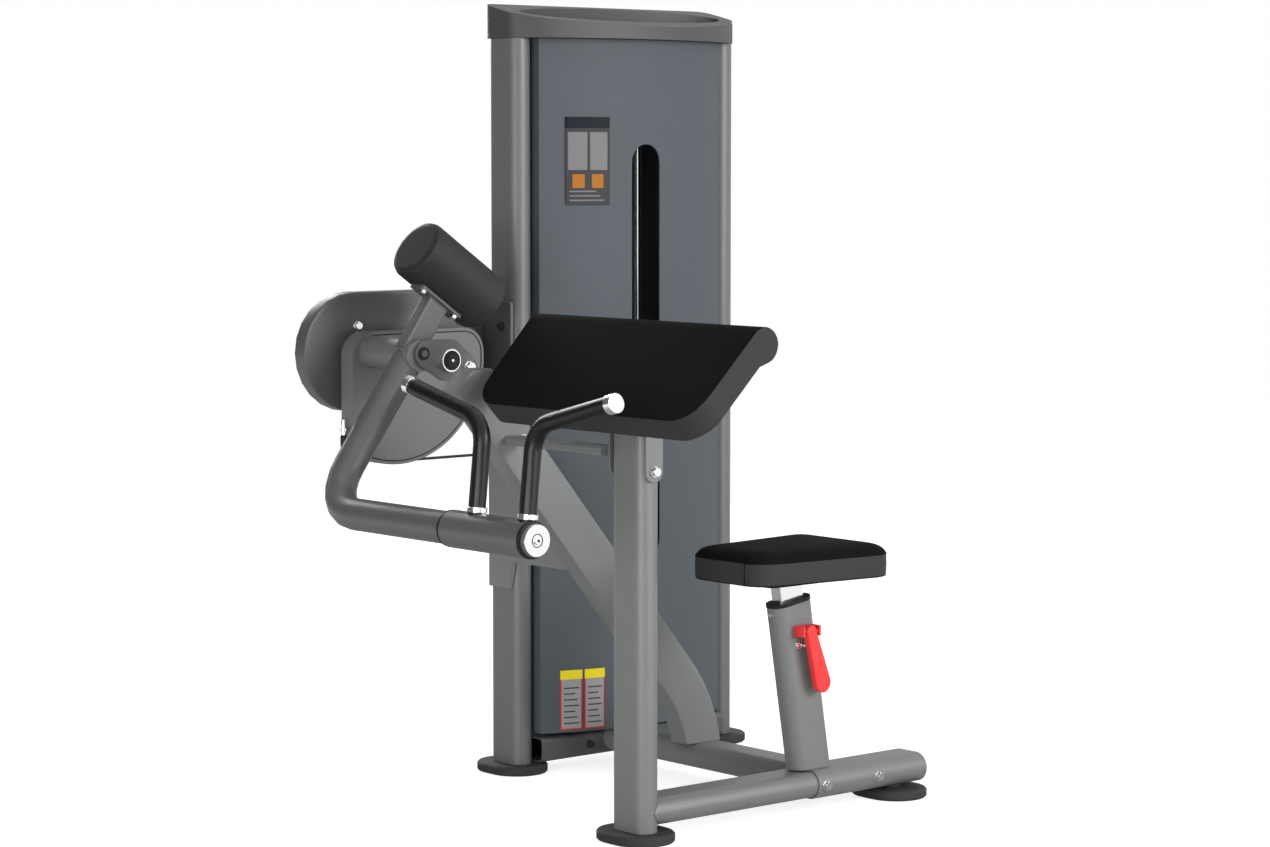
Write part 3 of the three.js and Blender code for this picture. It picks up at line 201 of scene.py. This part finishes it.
def smooth_normals(obj, limit=38.0):
    """Shades a faceted solid smooth across edges flatter than the limit; no vertex moves."""
    mesh = obj.data
    count = len(mesh.loops)
    points = read_values(mesh.vertices, "co", 3)
    faces = read_values(mesh.polygons, "normal", 3)
    areas = read_values(mesh.polygons, "area", 1)[:, 0]
    loop_vertex = np.zeros(count, int)
    mesh.loops.foreach_get("vertex_index", loop_vertex)
    loop_face = np.zeros(count, int)
    for poly in mesh.polygons:
        loop_face[poly.loop_start:poly.loop_start + poly.loop_total] = poly.index
    meeting = {}
    rounded = np.round(points * STEPS_PER_METRE).astype(int)
    for loop in range(count):
        meeting.setdefault(tuple(rounded[loop_vertex[loop]]), []).append(loop)
    edge = math.cos(math.radians(limit))
    normals = np.zeros((count, 3))
    for loops in meeting.values():
        own = faces[loop_face[loops]]
        near = (own @ own.T) > edge
        weights = near * areas[loop_face[loops]][None, :]
        total = weights @ own
        size = np.linalg.norm(total, axis=1, keepdims=True)
        size[size == 0] = 1
        normals[loops] = total / size
    mesh.polygons.foreach_set("use_smooth", [True] * len(mesh.polygons))
    mesh.normals_split_custom_set([tuple(n) for n in normals])


# Painted shade: these solids get darker copies of the frame paint, standing in for the shade that falls on
# them
TONES = {
    "shaded_column_paint": ("upright_left", "upright_right"),
    "shaded_arm_paint": ("curl_arm", "handle_sleeve", "weight_post"),
    "shaded_cam_paint": ("cam", "cross_tube"),
    "deep_shaded_paint": ("crank_plate", "side_plate", "lower_crossbar", "pivot_housing"),
}
looks = {entry["node"]: entry["material_slot"] for entry in frame["record"]["subparts"]}
for tone, group in TONES.items():
    for name in group:
        looks[name] = tone
for name, obj in nodes.items():
    obj.data.materials.clear()
    obj.data.materials.append(MATS[looks[name]])
    smooth_normals(obj)


# Pieces made here
def mesh_object(name, verts, faces):
    """A new object with a mesh of these corners and faces."""
    mesh = bpy.data.meshes.new(name)
    mesh.from_pydata([tuple(v) for v in verts], [], faces)
    mesh.validate()
    obj = bpy.data.objects.new(name, mesh)
    scene.collection.objects.link(obj)
    return obj


def loft(name, rings, closed=False):
    """A skin through a row of equal rings, capped at both ends or closed on itself."""
    count, last = len(rings[0]), len(rings)
    faces = []
    for row in range(last if closed else last - 1):
        here, there = row * count, (row + 1) % last * count
        for i in range(count):
            j = (i + 1) % count
            faces.append((here + i, here + j, there + j, there + i))
    if not closed:
        faces.append(tuple(reversed(range(count))))
        faces.append(tuple((last - 1) * count + i for i in range(count)))
    return mesh_object(name, [point for ring in rings for point in ring], faces)


def finish_piece(obj, look, body, smooth=True):
    """Gives a piece its material, smooth shading if asked, and its body."""
    obj.data.materials.append(MATS[look])
    if smooth:
        obj.data.polygons.foreach_set("use_smooth", [True] * len(obj.data.polygons))
    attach(obj, body)
    return obj


def lathe(name, base, axis, profile, look, body, sides=32, limit=40.0):
    """Turns a profile of (height, radius) in mm about an axis; a third entry makes a ring six-sided."""
    axis = Vector(axis).normalized()
    across = axis.orthogonal().normalized()
    third = axis.cross(across)
    sixth = math.pi / 3
    rings = []
    for height, radius, *six_sided in profile:
        ring = []
        for i in range(sides):
            turn = 2 * math.pi * i / sides
            reach = radius
            if six_sided:
                reach *= math.cos(sixth / 2) / math.cos(turn % sixth - sixth / 2)
            spoke = across * math.cos(turn) + third * math.sin(turn)
            ring.append(base + (axis * height + spoke * reach) / 1000)
        rings.append(ring)
    obj = loft(name, rings)
    finish_piece(obj, look, body)
    smooth_normals(obj, limit)


def disc(name, place, radius, high, bevel, look, body="arm", sides=32):
    """A thin disc that faces the front, its rim bevelled by (inward, outward) in mm."""
    inward, outward = bevel
    profile = [(0, radius), (high, radius), (high + outward, radius - inward)]
    lathe(name, place, TO_FRONT, profile, look, body, sides)


def bolt(name, base, axis, radius, body="frame", metal="chrome"):
    """A six-sided bolt head on a thin washer, its flat face chamfered round."""
    washer, washer_high, high = radius * 1.08, radius * 0.14, radius * 0.95
    profile = [(0, washer), (washer_high, washer), (washer_high, radius, 6),
               (high * 0.86, radius, 6), (high, radius * 0.84)]
    lathe(name, base, axis, profile, metal, body, sides=36, limit=30)


def tube(name, points, radius, look, body, closed=False, sides=8):
    """A thin round bead through the points, its radius in mm."""
    last = len(points)
    rings = []
    for i, point in enumerate(points):
        before = points[i - 1] if i or closed else point
        after = points[(i + 1) % last] if i + 1 < last or closed else point
        ahead = (after - before).normalized()
        up = Vector((0, 0, 1)) if abs(ahead.z) < 0.9 else Vector((0, 1, 0))
        side = ahead.cross(up).normalized()
        up = side.cross(ahead)
        turns = [2 * math.pi * k / sides for k in range(sides)]
        rings.append([point + (side * math.cos(t) + up * math.sin(t)) * radius / 1000 for t in turns])
    return finish_piece(loft(name, rings, closed), look, body)


# Cushions: upholstered skins, a top panel and a side band each; the band's lighter colour is painted light
# on the sides
def skin(name, node, body, rings, is_lit_side):
    """One closed cover through the rings; the test given picks by their normal the faces of the side band,
    whose lighter colour is painted light.
    """
    obj = loft(name, rings)
    work = bmesh.new()
    work.from_mesh(obj.data)
    bmesh.ops.recalc_face_normals(work, faces=work.faces)
    work.to_mesh(obj.data)
    work.free()
    finish_piece(obj, "pad_cover", body)
    obj.data.materials.append(MATS["pad_lit_side"])
    for poly in obj.data.polygons:
        poly.material_index = 1 if is_lit_side(poly.normal) else 0
    smooth_normals(obj, limit=50)
    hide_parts(node)


# The arm pad in millimetres: its roll's place, its reach below the roll, thickness, roll and corner
# radius, edge rounding, half width at the top and at the low end, crown, and how far its back
# edge reaches on
SLOPE = math.radians(46)
PAD_ALONG = Vector((math.cos(SLOPE), 0, math.sin(SLOPE)))
PAD_OUT = Vector((-math.sin(SLOPE), 0, math.cos(SLOPE)))
PAD_X, PAD_Z = 28, 917
PAD_LOW, PAD_THICK, PAD_ROLL, PAD_CORNER, PAD_EDGE = 207, 52, 32.5, 60, 4.5
PAD_HALF, PAD_HALF_LOW, PAD_CROWN, PAD_RAKE = 315, 306, 2.5, 3
FACE_STEPS, BACK_STEPS, EDGE_STEPS, CORNER_STEPS = 12, 6, 5, 8


def pad_at(s, n, y):
    """A point on the arm pad: s up the slope from the roll, n out of the padded face, in millimetres."""
    return at(PAD_X, y, PAD_Z) + PAD_ALONG * s / 1000 + PAD_OUT * (n + PAD_ROLL) / 1000


def pad_taper(s):
    """The pad is a little narrower at its low end."""
    share = min(max(-s / PAD_LOW, 0), 1)
    return 1 - share * (1 - PAD_HALF_LOW / PAD_HALF)


def pad_ring(y, draw):
    """The pad's section at y, drawn in by a margin near its ends."""
    past = min(max(0, abs(y) - (PAD_HALF - PAD_CORNER)), PAD_CORNER)
    lift = PAD_CORNER - math.sqrt(PAD_CORNER ** 2 - past ** 2)
    low = -PAD_LOW + lift * (1 - draw / PAD_CORNER) + draw
    back = -PAD_THICK + draw
    crown = PAD_CROWN * max(0, 1 - (abs(y) / PAD_HALF) ** 4)
    points = arc(low - PAD_RAKE + PAD_EDGE, back + PAD_EDGE, PAD_EDGE, -90, -180, 4)
    points += arc(low + PAD_EDGE, -draw - PAD_EDGE, PAD_EDGE, 180, 90, 4)
    for i in range(1, FACE_STEPS):
        share = i / FACE_STEPS
        rise = crown * math.sin(math.pi * share) ** 0.6
        points.append(((low + PAD_EDGE) * (1 - share), rise - draw))
    points += arc(0, -PAD_ROLL, PAD_ROLL - draw, 90, -120, 24)
    points.append((-PAD_ROLL - draw, back))
    points += [(-PAD_ROLL + (low + PAD_ROLL) * i / BACK_STEPS, back) for i in range(1, BACK_STEPS)]
    return [pad_at(s, n, y * pad_taper(s)) for s, n in points]


def pad_stations():
    """Places across the pad from its end to its middle, each with the margin it is drawn in by."""
    stations = []
    for i in range(EDGE_STEPS + 1):
        turn = math.radians(90 * i / EDGE_STEPS)
        stations.append((PAD_HALF - PAD_EDGE * (1 - math.cos(turn)), PAD_EDGE * (1 - math.sin(turn))))
    for i in range(CORNER_STEPS, -1, -1):
        turn = math.radians(60 * i / CORNER_STEPS)
        stations.append((PAD_HALF - PAD_CORNER * (1 - math.sin(turn)), 0))
    return stations + [(y, 0) for y in (205, 160, 110, 55, 0)]


def pad_is_lit_side(normal):
    """The side band, painted lighter as painted light, covers the pad's two ends and its low edge."""
    return abs(normal.y) > 0.7 or normal.dot(-PAD_ALONG) > 0.6


stations = pad_stations()
rings = [pad_ring(-y, draw) for y, draw in stations]
rings += [pad_ring(y, draw) for y, draw in reversed(stations[:-1])]
skin("arm_pad_skin", "arm_pad", "frame", rings, is_lit_side=pad_is_lit_side)

# The seat: centres and first angles of its rounded corners, and its side as (drawn in, height)
seat_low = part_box("seat_cushion")[0][2] * 1000
SEAT_CORNERS = ((488, 81, 0), (261, 57, 90), (261, -57, 180), (488, -81, 270))
SEAT_ROUND, SEAT_MID = 50, 372
SEAT_SIDE = [(3, 0), (1, 0.8), (0.2, 2.5), (0, 6), (-0.6, 22), (0, 42), (0.2, 43.6), (1.2, 45.4),
             (3, 48.2), (6.5, 52.2), (12, 55.8), (20, 59), (30, 61.4), (42, 62.8)]
SEAT_TOP, SEAT_TOP_DRAW, SEAT_CROWN = 63, 42, 1.6


def seat_outline(radius, steps):
    """The seat's outline in plan, its corners of the given radius."""
    return [point for x, y, start in SEAT_CORNERS for point in arc(x, y, radius, start, start + 90, steps)]


def seat_ring(draw, height, scale=1.0):
    """The seat's outline at a height, drawn in by a margin and shrunk toward its middle."""
    return [at(SEAT_MID + (x - SEAT_MID) * scale, y * scale, seat_low + height)
            for x, y in seat_outline(SEAT_ROUND - draw, 9)]


rings = [seat_ring(draw, height) for draw, height in SEAT_SIDE]
rings += [seat_ring(SEAT_TOP_DRAW, SEAT_TOP + SEAT_CROWN * (1 - scale), scale)
          for scale in (0.8, 0.6, 0.4, 0.2, 0.05)]
skin("seat_cushion_skin", "seat_cushion", "seat", rings,
     is_lit_side=lambda normal: abs(normal.z) < 0.35)

# Seam beads of the two cushions, each sunk a little into its cover
SEAM_Y, SEAM_REACH, SEAM_SUNK, PAD_BEAD = 312.6, 31.6, 0.9, 1.0
SEAT_SEAM, SEAT_SEAM_HIGH, SEAT_BEAD = 49.8, 43, 1.1
for way, tag in ((-1, "near"), (1, "far")):
    line = arc(0, -PAD_ROLL, SEAM_REACH, -50, 90, 10) + [(s, -SEAM_SUNK) for s in (-40, -90, -145)]
    line = [pad_at(s, n, SEAM_Y * way * pad_taper(s)) for s, n in line]
    tube("arm_pad_seam_" + tag, line, PAD_BEAD, "pad_cover", "frame")
line = [at(x, y, seat_low + SEAT_SEAM_HIGH) for x, y in seat_outline(SEAT_SEAM, 6)]
tube("seat_seam", line, SEAT_BEAD, "pad_cover", "seat", True)
line = [at(211.2, -61, seat_low + height) for height in (3, 16, 29, 42)]
tube("seat_corner_seam", line, SEAT_BEAD, "pad_cover", "seat")

# Bolts; those of the seat's sleeve start 1 mm inside its face
SLEEVE_FACE = (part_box("seat_sleeve")[0][1] - ORIGIN.y) * 1000 + 1
bolt("post_bolt", at(0, -53.3, 679), TO_FRONT, 9.2)
bolt("sleeve_bolt_left", at(434, SLEEVE_FACE, 53), TO_FRONT, 9.2)
bolt("sleeve_bolt_right", at(572, SLEEVE_FACE, 53), TO_FRONT, 9.2)
bolt("crank_bolt", at(4, 499.7, 840), TO_FRONT, 10.5, "arm")
bolt("housing_bolt_left", at(-101, 720.2, 914), TO_FRONT, 8.5)
bolt("housing_bolt_right", at(150, 720.2, 916), TO_FRONT, 8)
bolt("side_plate_bolt", at(209.3, 660, 905), TO_LEFT, 8, "frame", "dark_cast")
bolt("link_bar_bolt", at(6, 334.6, 711), TO_FRONT, 9.2)
bolt("crossbar_bolt", at(392, 606.5, 45), TO_FRONT, 8, "frame", "dark_cast")
bolt("seat_post_bolt", at(334.6, 0, 383), (-0.987, 0, -0.16), 4)
bolt("lever_bolt", at(380, -25.2, 323), TO_FRONT, 6.8)

# The counterweight's two bolts, in the plate under its flat side: how far below the weight's middle
# they start and how far along it each one is, in metres
LEAN = math.radians(34.9)
BOLT_DOWN, BOLT_SPREAD = 0.0613, 0.044
AWAY = Vector((math.sin(LEAN), 0, math.cos(LEAN)))
ALONG = Vector((AWAY.z, 0, -AWAY.x))
UNDER_WEIGHT = at(-12.5, 526, 1014) - AWAY * BOLT_DOWN
for side, tag in ((-1, "left"), (1, "right")):
    bolt("weight_bolt_" + tag, UNDER_WEIGHT + ALONG * BOLT_SPREAD * side, -AWAY, 7.2, "arm")

# The bevelled black plug in the right end of the flat-oval rail
PLUG_X, PLUG_Z, PLUG_LONG, PLUG_SHORT, PLUG_THICK, PLUG_BEVEL = 704.2, 53, 93, 48, 4, 1.5
half_round = arc((PLUG_LONG - PLUG_SHORT) / 2, 0, PLUG_SHORT / 2, -90, 90, 12)
oval = [(side * u, side * v) for side in (1, -1) for u, v in half_round]
rings = []
for depth, inset in ((0, 0), (PLUG_THICK - PLUG_BEVEL, 0), (PLUG_THICK, PLUG_BEVEL)):
    shrink = 1 - inset / (PLUG_SHORT / 2)
    rings.append([at(PLUG_X + depth, u * shrink, PLUG_Z + v * shrink) for u, v in oval])
plug = finish_piece(loft("base_rail_plug", rings), "black_plastic", "frame")
smooth_normals(plug, limit=40)

# Grip collars and caps, and the rings at the rolling sleeve's ends; a collar sits this far up its
# grip and a cap this far back over the tip, in metres
HANDLE_X, HANDLE_Z = -309, 583
GRIP_Y, GRIP_TIP_Y = 72, 282
COLLAR_UP, CAP_BACK = 0.0345, 0.004
COLLAR = [(0, 18.0), (0.5, 18.5), (8.5, 18.5), (9.5, 17.5)]
GRIP_CAP = [(0, 16.5), (0.5, 17.8), (14.5, 17.8), (15.8, 17.0), (16.3, 15.5), (16.5, 4.0)]
SLEEVE_RING = [(0, 33.5), (6, 33.5), (7, 32.0)]
for way, tag in ((-1, "near"), (1, "far")):
    foot = at(HANDLE_X, GRIP_Y * way, HANDLE_Z)
    bend = at(-290, GRIP_Y * way, 778)
    tip = at(-291, GRIP_TIP_Y * way, 829)
    rise = (bend - foot).normalized()
    ahead = (tip - bend).normalized()
    lathe("grip_collar_" + tag, foot + rise * COLLAR_UP, rise, COLLAR, "chrome", "handle")
    lathe("grip_cap_" + tag, tip - ahead * CAP_BACK, ahead, GRIP_CAP, "chrome", "handle")
lathe("sleeve_ring_far", at(HANDLE_X, 138.3, HANDLE_Z), TO_BACK, SLEEVE_RING, "black_plastic", "handle")
lathe("sleeve_ring_near", at(HANDLE_X, -85.3, HANDLE_Z), TO_FRONT, SLEEVE_RING, "black_plastic", "handle")

# The turned ring round the stud of the arm's end, and its centre mark
END_FACE = (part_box("arm_end_cap")[0][1] - ORIGIN.y) * 1000
END_STUD, END_RING = 3.7, 11.4
line = [at(x, END_FACE + END_STUD, z) for x, z in arc(HANDLE_X, HANDLE_Z, END_RING, 0, 350, 35)]
tube("arm_end_ring", line, 0.9, "black_plastic", "arm", True)
disc("arm_end_dot", at(HANDLE_X, END_FACE - 0.1, HANDLE_Z), 2.4, 0.6, (0.6, 0.4), "black_plastic", sides=24)

# The cable's drop to the stack, drawn at one length, though it shortens as the stack rises
DROP_TRAVEL, DROP_STEPS = 0.37, 8
drop_low, drop_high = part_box("cable_drop")
drop_x, drop_y = (drop_low[0] + drop_high[0]) / 2, (drop_low[1] + drop_high[1]) / 2
drop_line = [Vector((drop_x, drop_y, drop_low[2] + (drop_high[2] - drop_low[2]) * i / DROP_STEPS))
             for i in range(DROP_STEPS + 1)]
drop = tube("cable_drop_line", drop_line, 3.0, "cable_cover", "frame", sides=12)
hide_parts("cable_drop")
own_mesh(drop)

# End fitting of the cable on the cam
BOOT = [(0, 4), (2, 6), (30, 6.5), (34, 5)]
STUD = [(0, 4.5), (6, 4.5), (6.5, 7.5), (14, 7.5), (14.5, 4.5), (28, 4.5), (30, 3.0)]
lathe("cable_end_boot", at(-161.5, 683.5, 672), TO_TOP, BOOT, "black_plastic", "arm")
lathe("cable_end_stud", at(-161.5, 683.5, 706), TO_TOP, STUD, "chrome", "arm")

# Hub centre and the bush at the crank's left end
HUB_X, HUB_Z = -44, 855
BUSH_X, BUSH_Z = -104, 870
disc("hub_disc", at(HUB_X, 490.6, HUB_Z), 19.0, 1.2, (0.8, 0.4), "black_plastic")
disc("hub_ring", at(HUB_X, 488.9, HUB_Z), 11.5, 0.8, (0.7, 0.4), "dark_cast")
disc("hub_dot", at(HUB_X, 487.6, HUB_Z), 3.0, 0.8, (0.6, 0.4), "chrome", sides=24)
disc("crank_bush", at(BUSH_X, 499.8, BUSH_Z), 12.5, 2.2, (0.7, 0.6), "black_plastic")
# The pin takes the darkest shaded copy of the frame paint, a painted shade
disc("crank_bush_pin", at(BUSH_X, 496.9, BUSH_Z), 6.6, 1.2, (0.8, 0.5), "deep_shaded_paint")

# The cam's rim: a dark line inside the edge of its near plate
RIM_Y, RIM_RADIUS, RIM_CORNER = 664.7, 205, 41
rim = arc(HUB_X, HUB_Z, RIM_RADIUS, -116, -4, 30) + arc(119, 857, RIM_CORNER, 0, 90, 8) + [(-105, 898)]
tube("cam_rim_line", [at(x, RIM_Y, z) for x, z in rim], 1.1, "black_plastic", "arm")

# Placards: plates of plain colour with blank bands, each layer a little further out
PLATE, PRINT, OVERPRINT = 1.2, 1.5, 1.8
LABEL_GAP, LABEL_STEPS = 0.1, 8
# The cap's bowed front in plan: half width, depth and the place of its chord; the shroud is set in
BOW_HALF, BOW_DEPTH, BOW_X, BOW_Y, SHROUD_INSET = 299, 83, 513, 620, 25


def panel_y(x):
    """The front shroud's outer face at x, in millimetres."""
    radius = (BOW_HALF ** 2 + BOW_DEPTH ** 2) / (2 * BOW_DEPTH)
    centre = BOW_Y - BOW_DEPTH + radius
    return centre - math.sqrt((radius - SHROUD_INSET) ** 2 - (x - BOW_X) ** 2)


def label(name, left, right, low, high, colour, lift):
    """A thin plate that follows the shroud's bow."""
    verts = []
    for depth in (lift, LABEL_GAP):
        for i in range(LABEL_STEPS + 1):
            x = left + (right - left) * i / LABEL_STEPS
            verts += [at(x, panel_y(x) - depth, z) for z in (low, high)]
    half, end = (LABEL_STEPS + 1) * 2, LABEL_STEPS * 2
    faces = []
    for a in range(0, end, 2):
        faces.append((a, a + 2, a + 3, a + 1))
        faces.append((half + a, half + a + 1, half + a + 3, half + a + 2))
        faces.append((a, half + a, half + a + 2, a + 2))
        faces.append((a + 1, a + 3, half + a + 3, half + a + 1))
    faces.append((0, 1, half + 1, half))
    faces.append((end, half + end, half + end + 1, end + 1))
    finish_piece(mesh_object(name, verts, faces), "sign_" + colour, "frame", False)


def placard_upper(left, right, low, high):
    """A grey plate with a dark header, two pale fields, two orange blocks and three rules."""
    name, wide = "placard_upper_", right - left
    label(name + "plate", left, right, low, high, "grey", PLATE)
    label(name + "header", left, right, high - 22, high, "navy", PRINT)
    picture, block = (high - 106, high - 30), (high - 142, high - 114)
    label(name + "picture_left", left + 5, left + wide * 0.48, *picture, "pale", PRINT)
    label(name + "picture_right", left + wide * 0.54, right - 5, *picture, "pale", PRINT)
    label(name + "block_left", left + 14, left + wide * 0.42, *block, "orange", PRINT)
    label(name + "block_right", left + wide * 0.58, right - 14, *block, "orange", PRINT)
    for i in range(3):
        z = low + 8 + i * 9
        label(name + "rule_%d" % i, left + 8, right - 12 - 9 * i, z, z + 3, "pale", PRINT)


def placard_lower(tag, left, right, low, high):
    """A white plate with a red edge, a yellow band and seven rules."""
    name, edge = "placard_%s_" % tag, 2.5
    label(name + "edge", left, right, low, high, "red", PLATE)
    label(name + "body", left + edge, right - edge, low + edge, high - edge, "white", PRINT)
    label(name + "band", left, right, high - 19, high, "yellow", OVERPRINT)
    for i in range(7):
        z = low + 12 + i * 12
        label(name + "rule_%d" % i, left + 7, right - 7 - (i % 3) * 4, z, z + 2.4, "grey", OVERPRINT)


placard_upper(321, 415, 1146, 1322)
placard_lower("left", 309, 354, 84, 206)
placard_lower("right", 359, 403, 84, 206)

# Stage: a pale floor and level light, white to the camera
WHITE = (1, 1, 1, 1)
ROOM_RIGHT = (0.65, -0.76, 0.0)


def mix_by(tree, ray, seen, other):
    """A mix of two shaders: the first for the named kind of ray, the other for the rest."""
    path = tree.nodes.new("ShaderNodeLightPath")
    mix = tree.nodes.new("ShaderNodeMixShader")
    tree.links.new(path.outputs[ray], mix.inputs["Fac"])
    tree.links.new(other, mix.inputs[1])
    tree.links.new(seen, mix.inputs[2])
    return mix.outputs["Shader"]


def make_world():
    """White to the camera; in gloss, white in front on the right and grey below and behind on the left."""
    world = bpy.data.worlds.new("white_room")
    scene.world = world
    world.use_nodes = True
    tree = world.node_tree
    tree.nodes.clear()
    white = add_node(tree, "ShaderNodeBackground", Color=WHITE, Strength=1.0)
    level = add_node(tree, "ShaderNodeBackground", Color=WHITE, Strength=0.42)
    gloss = add_node(tree, "ShaderNodeBackground", Color=WHITE)
    place = tree.nodes.new("ShaderNodeTexCoord")
    split = tree.nodes.new("ShaderNodeSeparateXYZ")
    tree.links.new(place.outputs["Generated"], split.inputs["Vector"])
    above = add_node(tree, "ShaderNodeMapRange", From_Min=-0.40, From_Max=-0.12, To_Min=0.22, To_Max=1.0)
    tree.links.new(split.outputs["Z"], above.inputs["Value"])
    across = add_node(tree, "ShaderNodeVectorMath", in_1=ROOM_RIGHT)
    across.operation = "DOT_PRODUCT"
    tree.links.new(place.outputs["Generated"], across.inputs[0])
    right = add_node(tree, "ShaderNodeMapRange", From_Min=-0.75, From_Max=0.10, To_Min=0.12, To_Max=1.0)
    tree.links.new(across.outputs["Value"], right.inputs["Value"])
    both = tree.nodes.new("ShaderNodeMath")
    both.operation = "MULTIPLY"
    tree.links.new(above.outputs["Result"], both.inputs[0])
    tree.links.new(right.outputs["Result"], both.inputs[1])
    tree.links.new(both.outputs["Value"], gloss.inputs["Strength"])
    shader = mix_by(tree, "Is Glossy Ray", gloss.outputs[0], level.outputs[0])
    shader = mix_by(tree, "Is Transmission Ray", white.outputs[0], shader)
    shader = mix_by(tree, "Is Camera Ray", white.outputs[0], shader)
    out = tree.nodes.new("ShaderNodeOutputWorld")
    tree.links.new(shader, out.inputs["Surface"])


def make_floor(half=9.0, gap=0.0005):
    """A pale floor that clips to white in full light and keeps a faint shadow; in gloss it is grey, with a
    painted shadow that darkens it towards the middle.
    """
    mat = bpy.data.materials.new("pale_floor")
    mat.use_nodes = True
    tree = mat.node_tree
    tree.nodes.clear()
    plain = add_node(tree, "ShaderNodeBsdfDiffuse", Color=(0.85, 0.85, 0.85, 1))
    half_lit = add_node(tree, "ShaderNodeBsdfDiffuse", Color=(0.50, 0.50, 0.50, 1))
    glow = add_node(tree, "ShaderNodeEmission", Color=WHITE, Strength=0.80)
    seen = tree.nodes.new("ShaderNodeAddShader")
    tree.links.new(half_lit.outputs[0], seen.inputs[0])
    tree.links.new(glow.outputs[0], seen.inputs[1])
    # Painted shadow: in gloss the floor glows dimmer towards its middle, under the object
    mirrored = add_node(tree, "ShaderNodeEmission", Color=WHITE)
    place = tree.nodes.new("ShaderNodeTexCoord")
    length = tree.nodes.new("ShaderNodeVectorMath")
    length.operation = "LENGTH"
    tree.links.new(place.outputs["Object"], length.inputs[0])
    reflected_painted_shadow = add_node(tree, "ShaderNodeMapRange", From_Min=0.9, From_Max=3.2, To_Min=0.30, To_Max=1.0)
    tree.links.new(length.outputs["Value"], reflected_painted_shadow.inputs["Value"])
    tree.links.new(reflected_painted_shadow.outputs["Result"], mirrored.inputs["Strength"])
    shader = mix_by(tree, "Is Glossy Ray", mirrored.outputs[0], plain.outputs[0])
    shader = mix_by(tree, "Is Transmission Ray", seen.outputs[0], shader)
    shader = mix_by(tree, "Is Camera Ray", seen.outputs[0], shader)
    out = tree.nodes.new("ShaderNodeOutputMaterial")
    tree.links.new(shader, out.inputs["Surface"])
    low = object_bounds()[0][2] - gap
    corners = [(-half, -half, low), (half, -half, low), (half, half, low), (-half, half, low)]
    floor = mesh_object("floor", corners, [(0, 1, 2, 3)])
    floor.data.materials.append(mat)


def look_along(obj, place, direction):
    """Puts a lamp or the camera at a place, its line of sight in a direction."""
    scene.collection.objects.link(obj)
    obj.location = place
    obj.rotation_mode = "QUATERNION"
    obj.rotation_quaternion = direction.to_track_quat("-Z", "Y")


def area_light(name, place, target, size, power, spread=180):
    """A square lamp: its size in metres, its power in watts and its spread in degrees."""
    data = bpy.data.lights.new(name, "AREA")
    data.spread = math.radians(spread)
    data.shape = "SQUARE"
    data.size = size
    data.energy = power
    obj = bpy.data.objects.new(name, data)
    look_along(obj, place, Vector(target) - Vector(place))


make_world()
make_floor()
area_light("key", (2.4, -6.0, 2.8), (0, 0, 0.8), 2.0, 215)
area_light("side", (-5.4, -1.6, 2.6), (0, 0, 0.8), 2.2, 6)
area_light("top", (-0.4, -0.6, 5.2), (0, 0, 0.6), 2.6, 10)
area_light("low", (0.8, -4.6, 1.0), (0, 0, 0.4), 1.6, 34)
area_light("left_low", (-3.8, -1.8, 0.40), (0.1, 0.2, 0.0), 2.2, 13, 60)
area_light("back", (1.2, 5.4, 3.0), (0, 0, 0.8), 2.4, 150)

# Camera, pitched down so that the horizon lies this many pixels above the picture's middle
HORIZON_UP, FOCAL_PIXELS = 269.5, 3222
heading = Vector((0.647, 0.7625, 0)).normalized()
pitch = math.atan(HORIZON_UP / FOCAL_PIXELS)
cam_data = bpy.data.cameras.new("camera")
cam_data.sensor_width = 36
cam_data.lens = 91.65
cam_data.dof.use_dof = False
cam = bpy.data.objects.new("camera", cam_data)
look_along(cam, at(-3767.6, -4438.6, 1250), heading * math.cos(pitch) - Vector((0, 0, math.sin(pitch))))
scene.camera = cam
scene.view_settings.view_transform = "Standard"
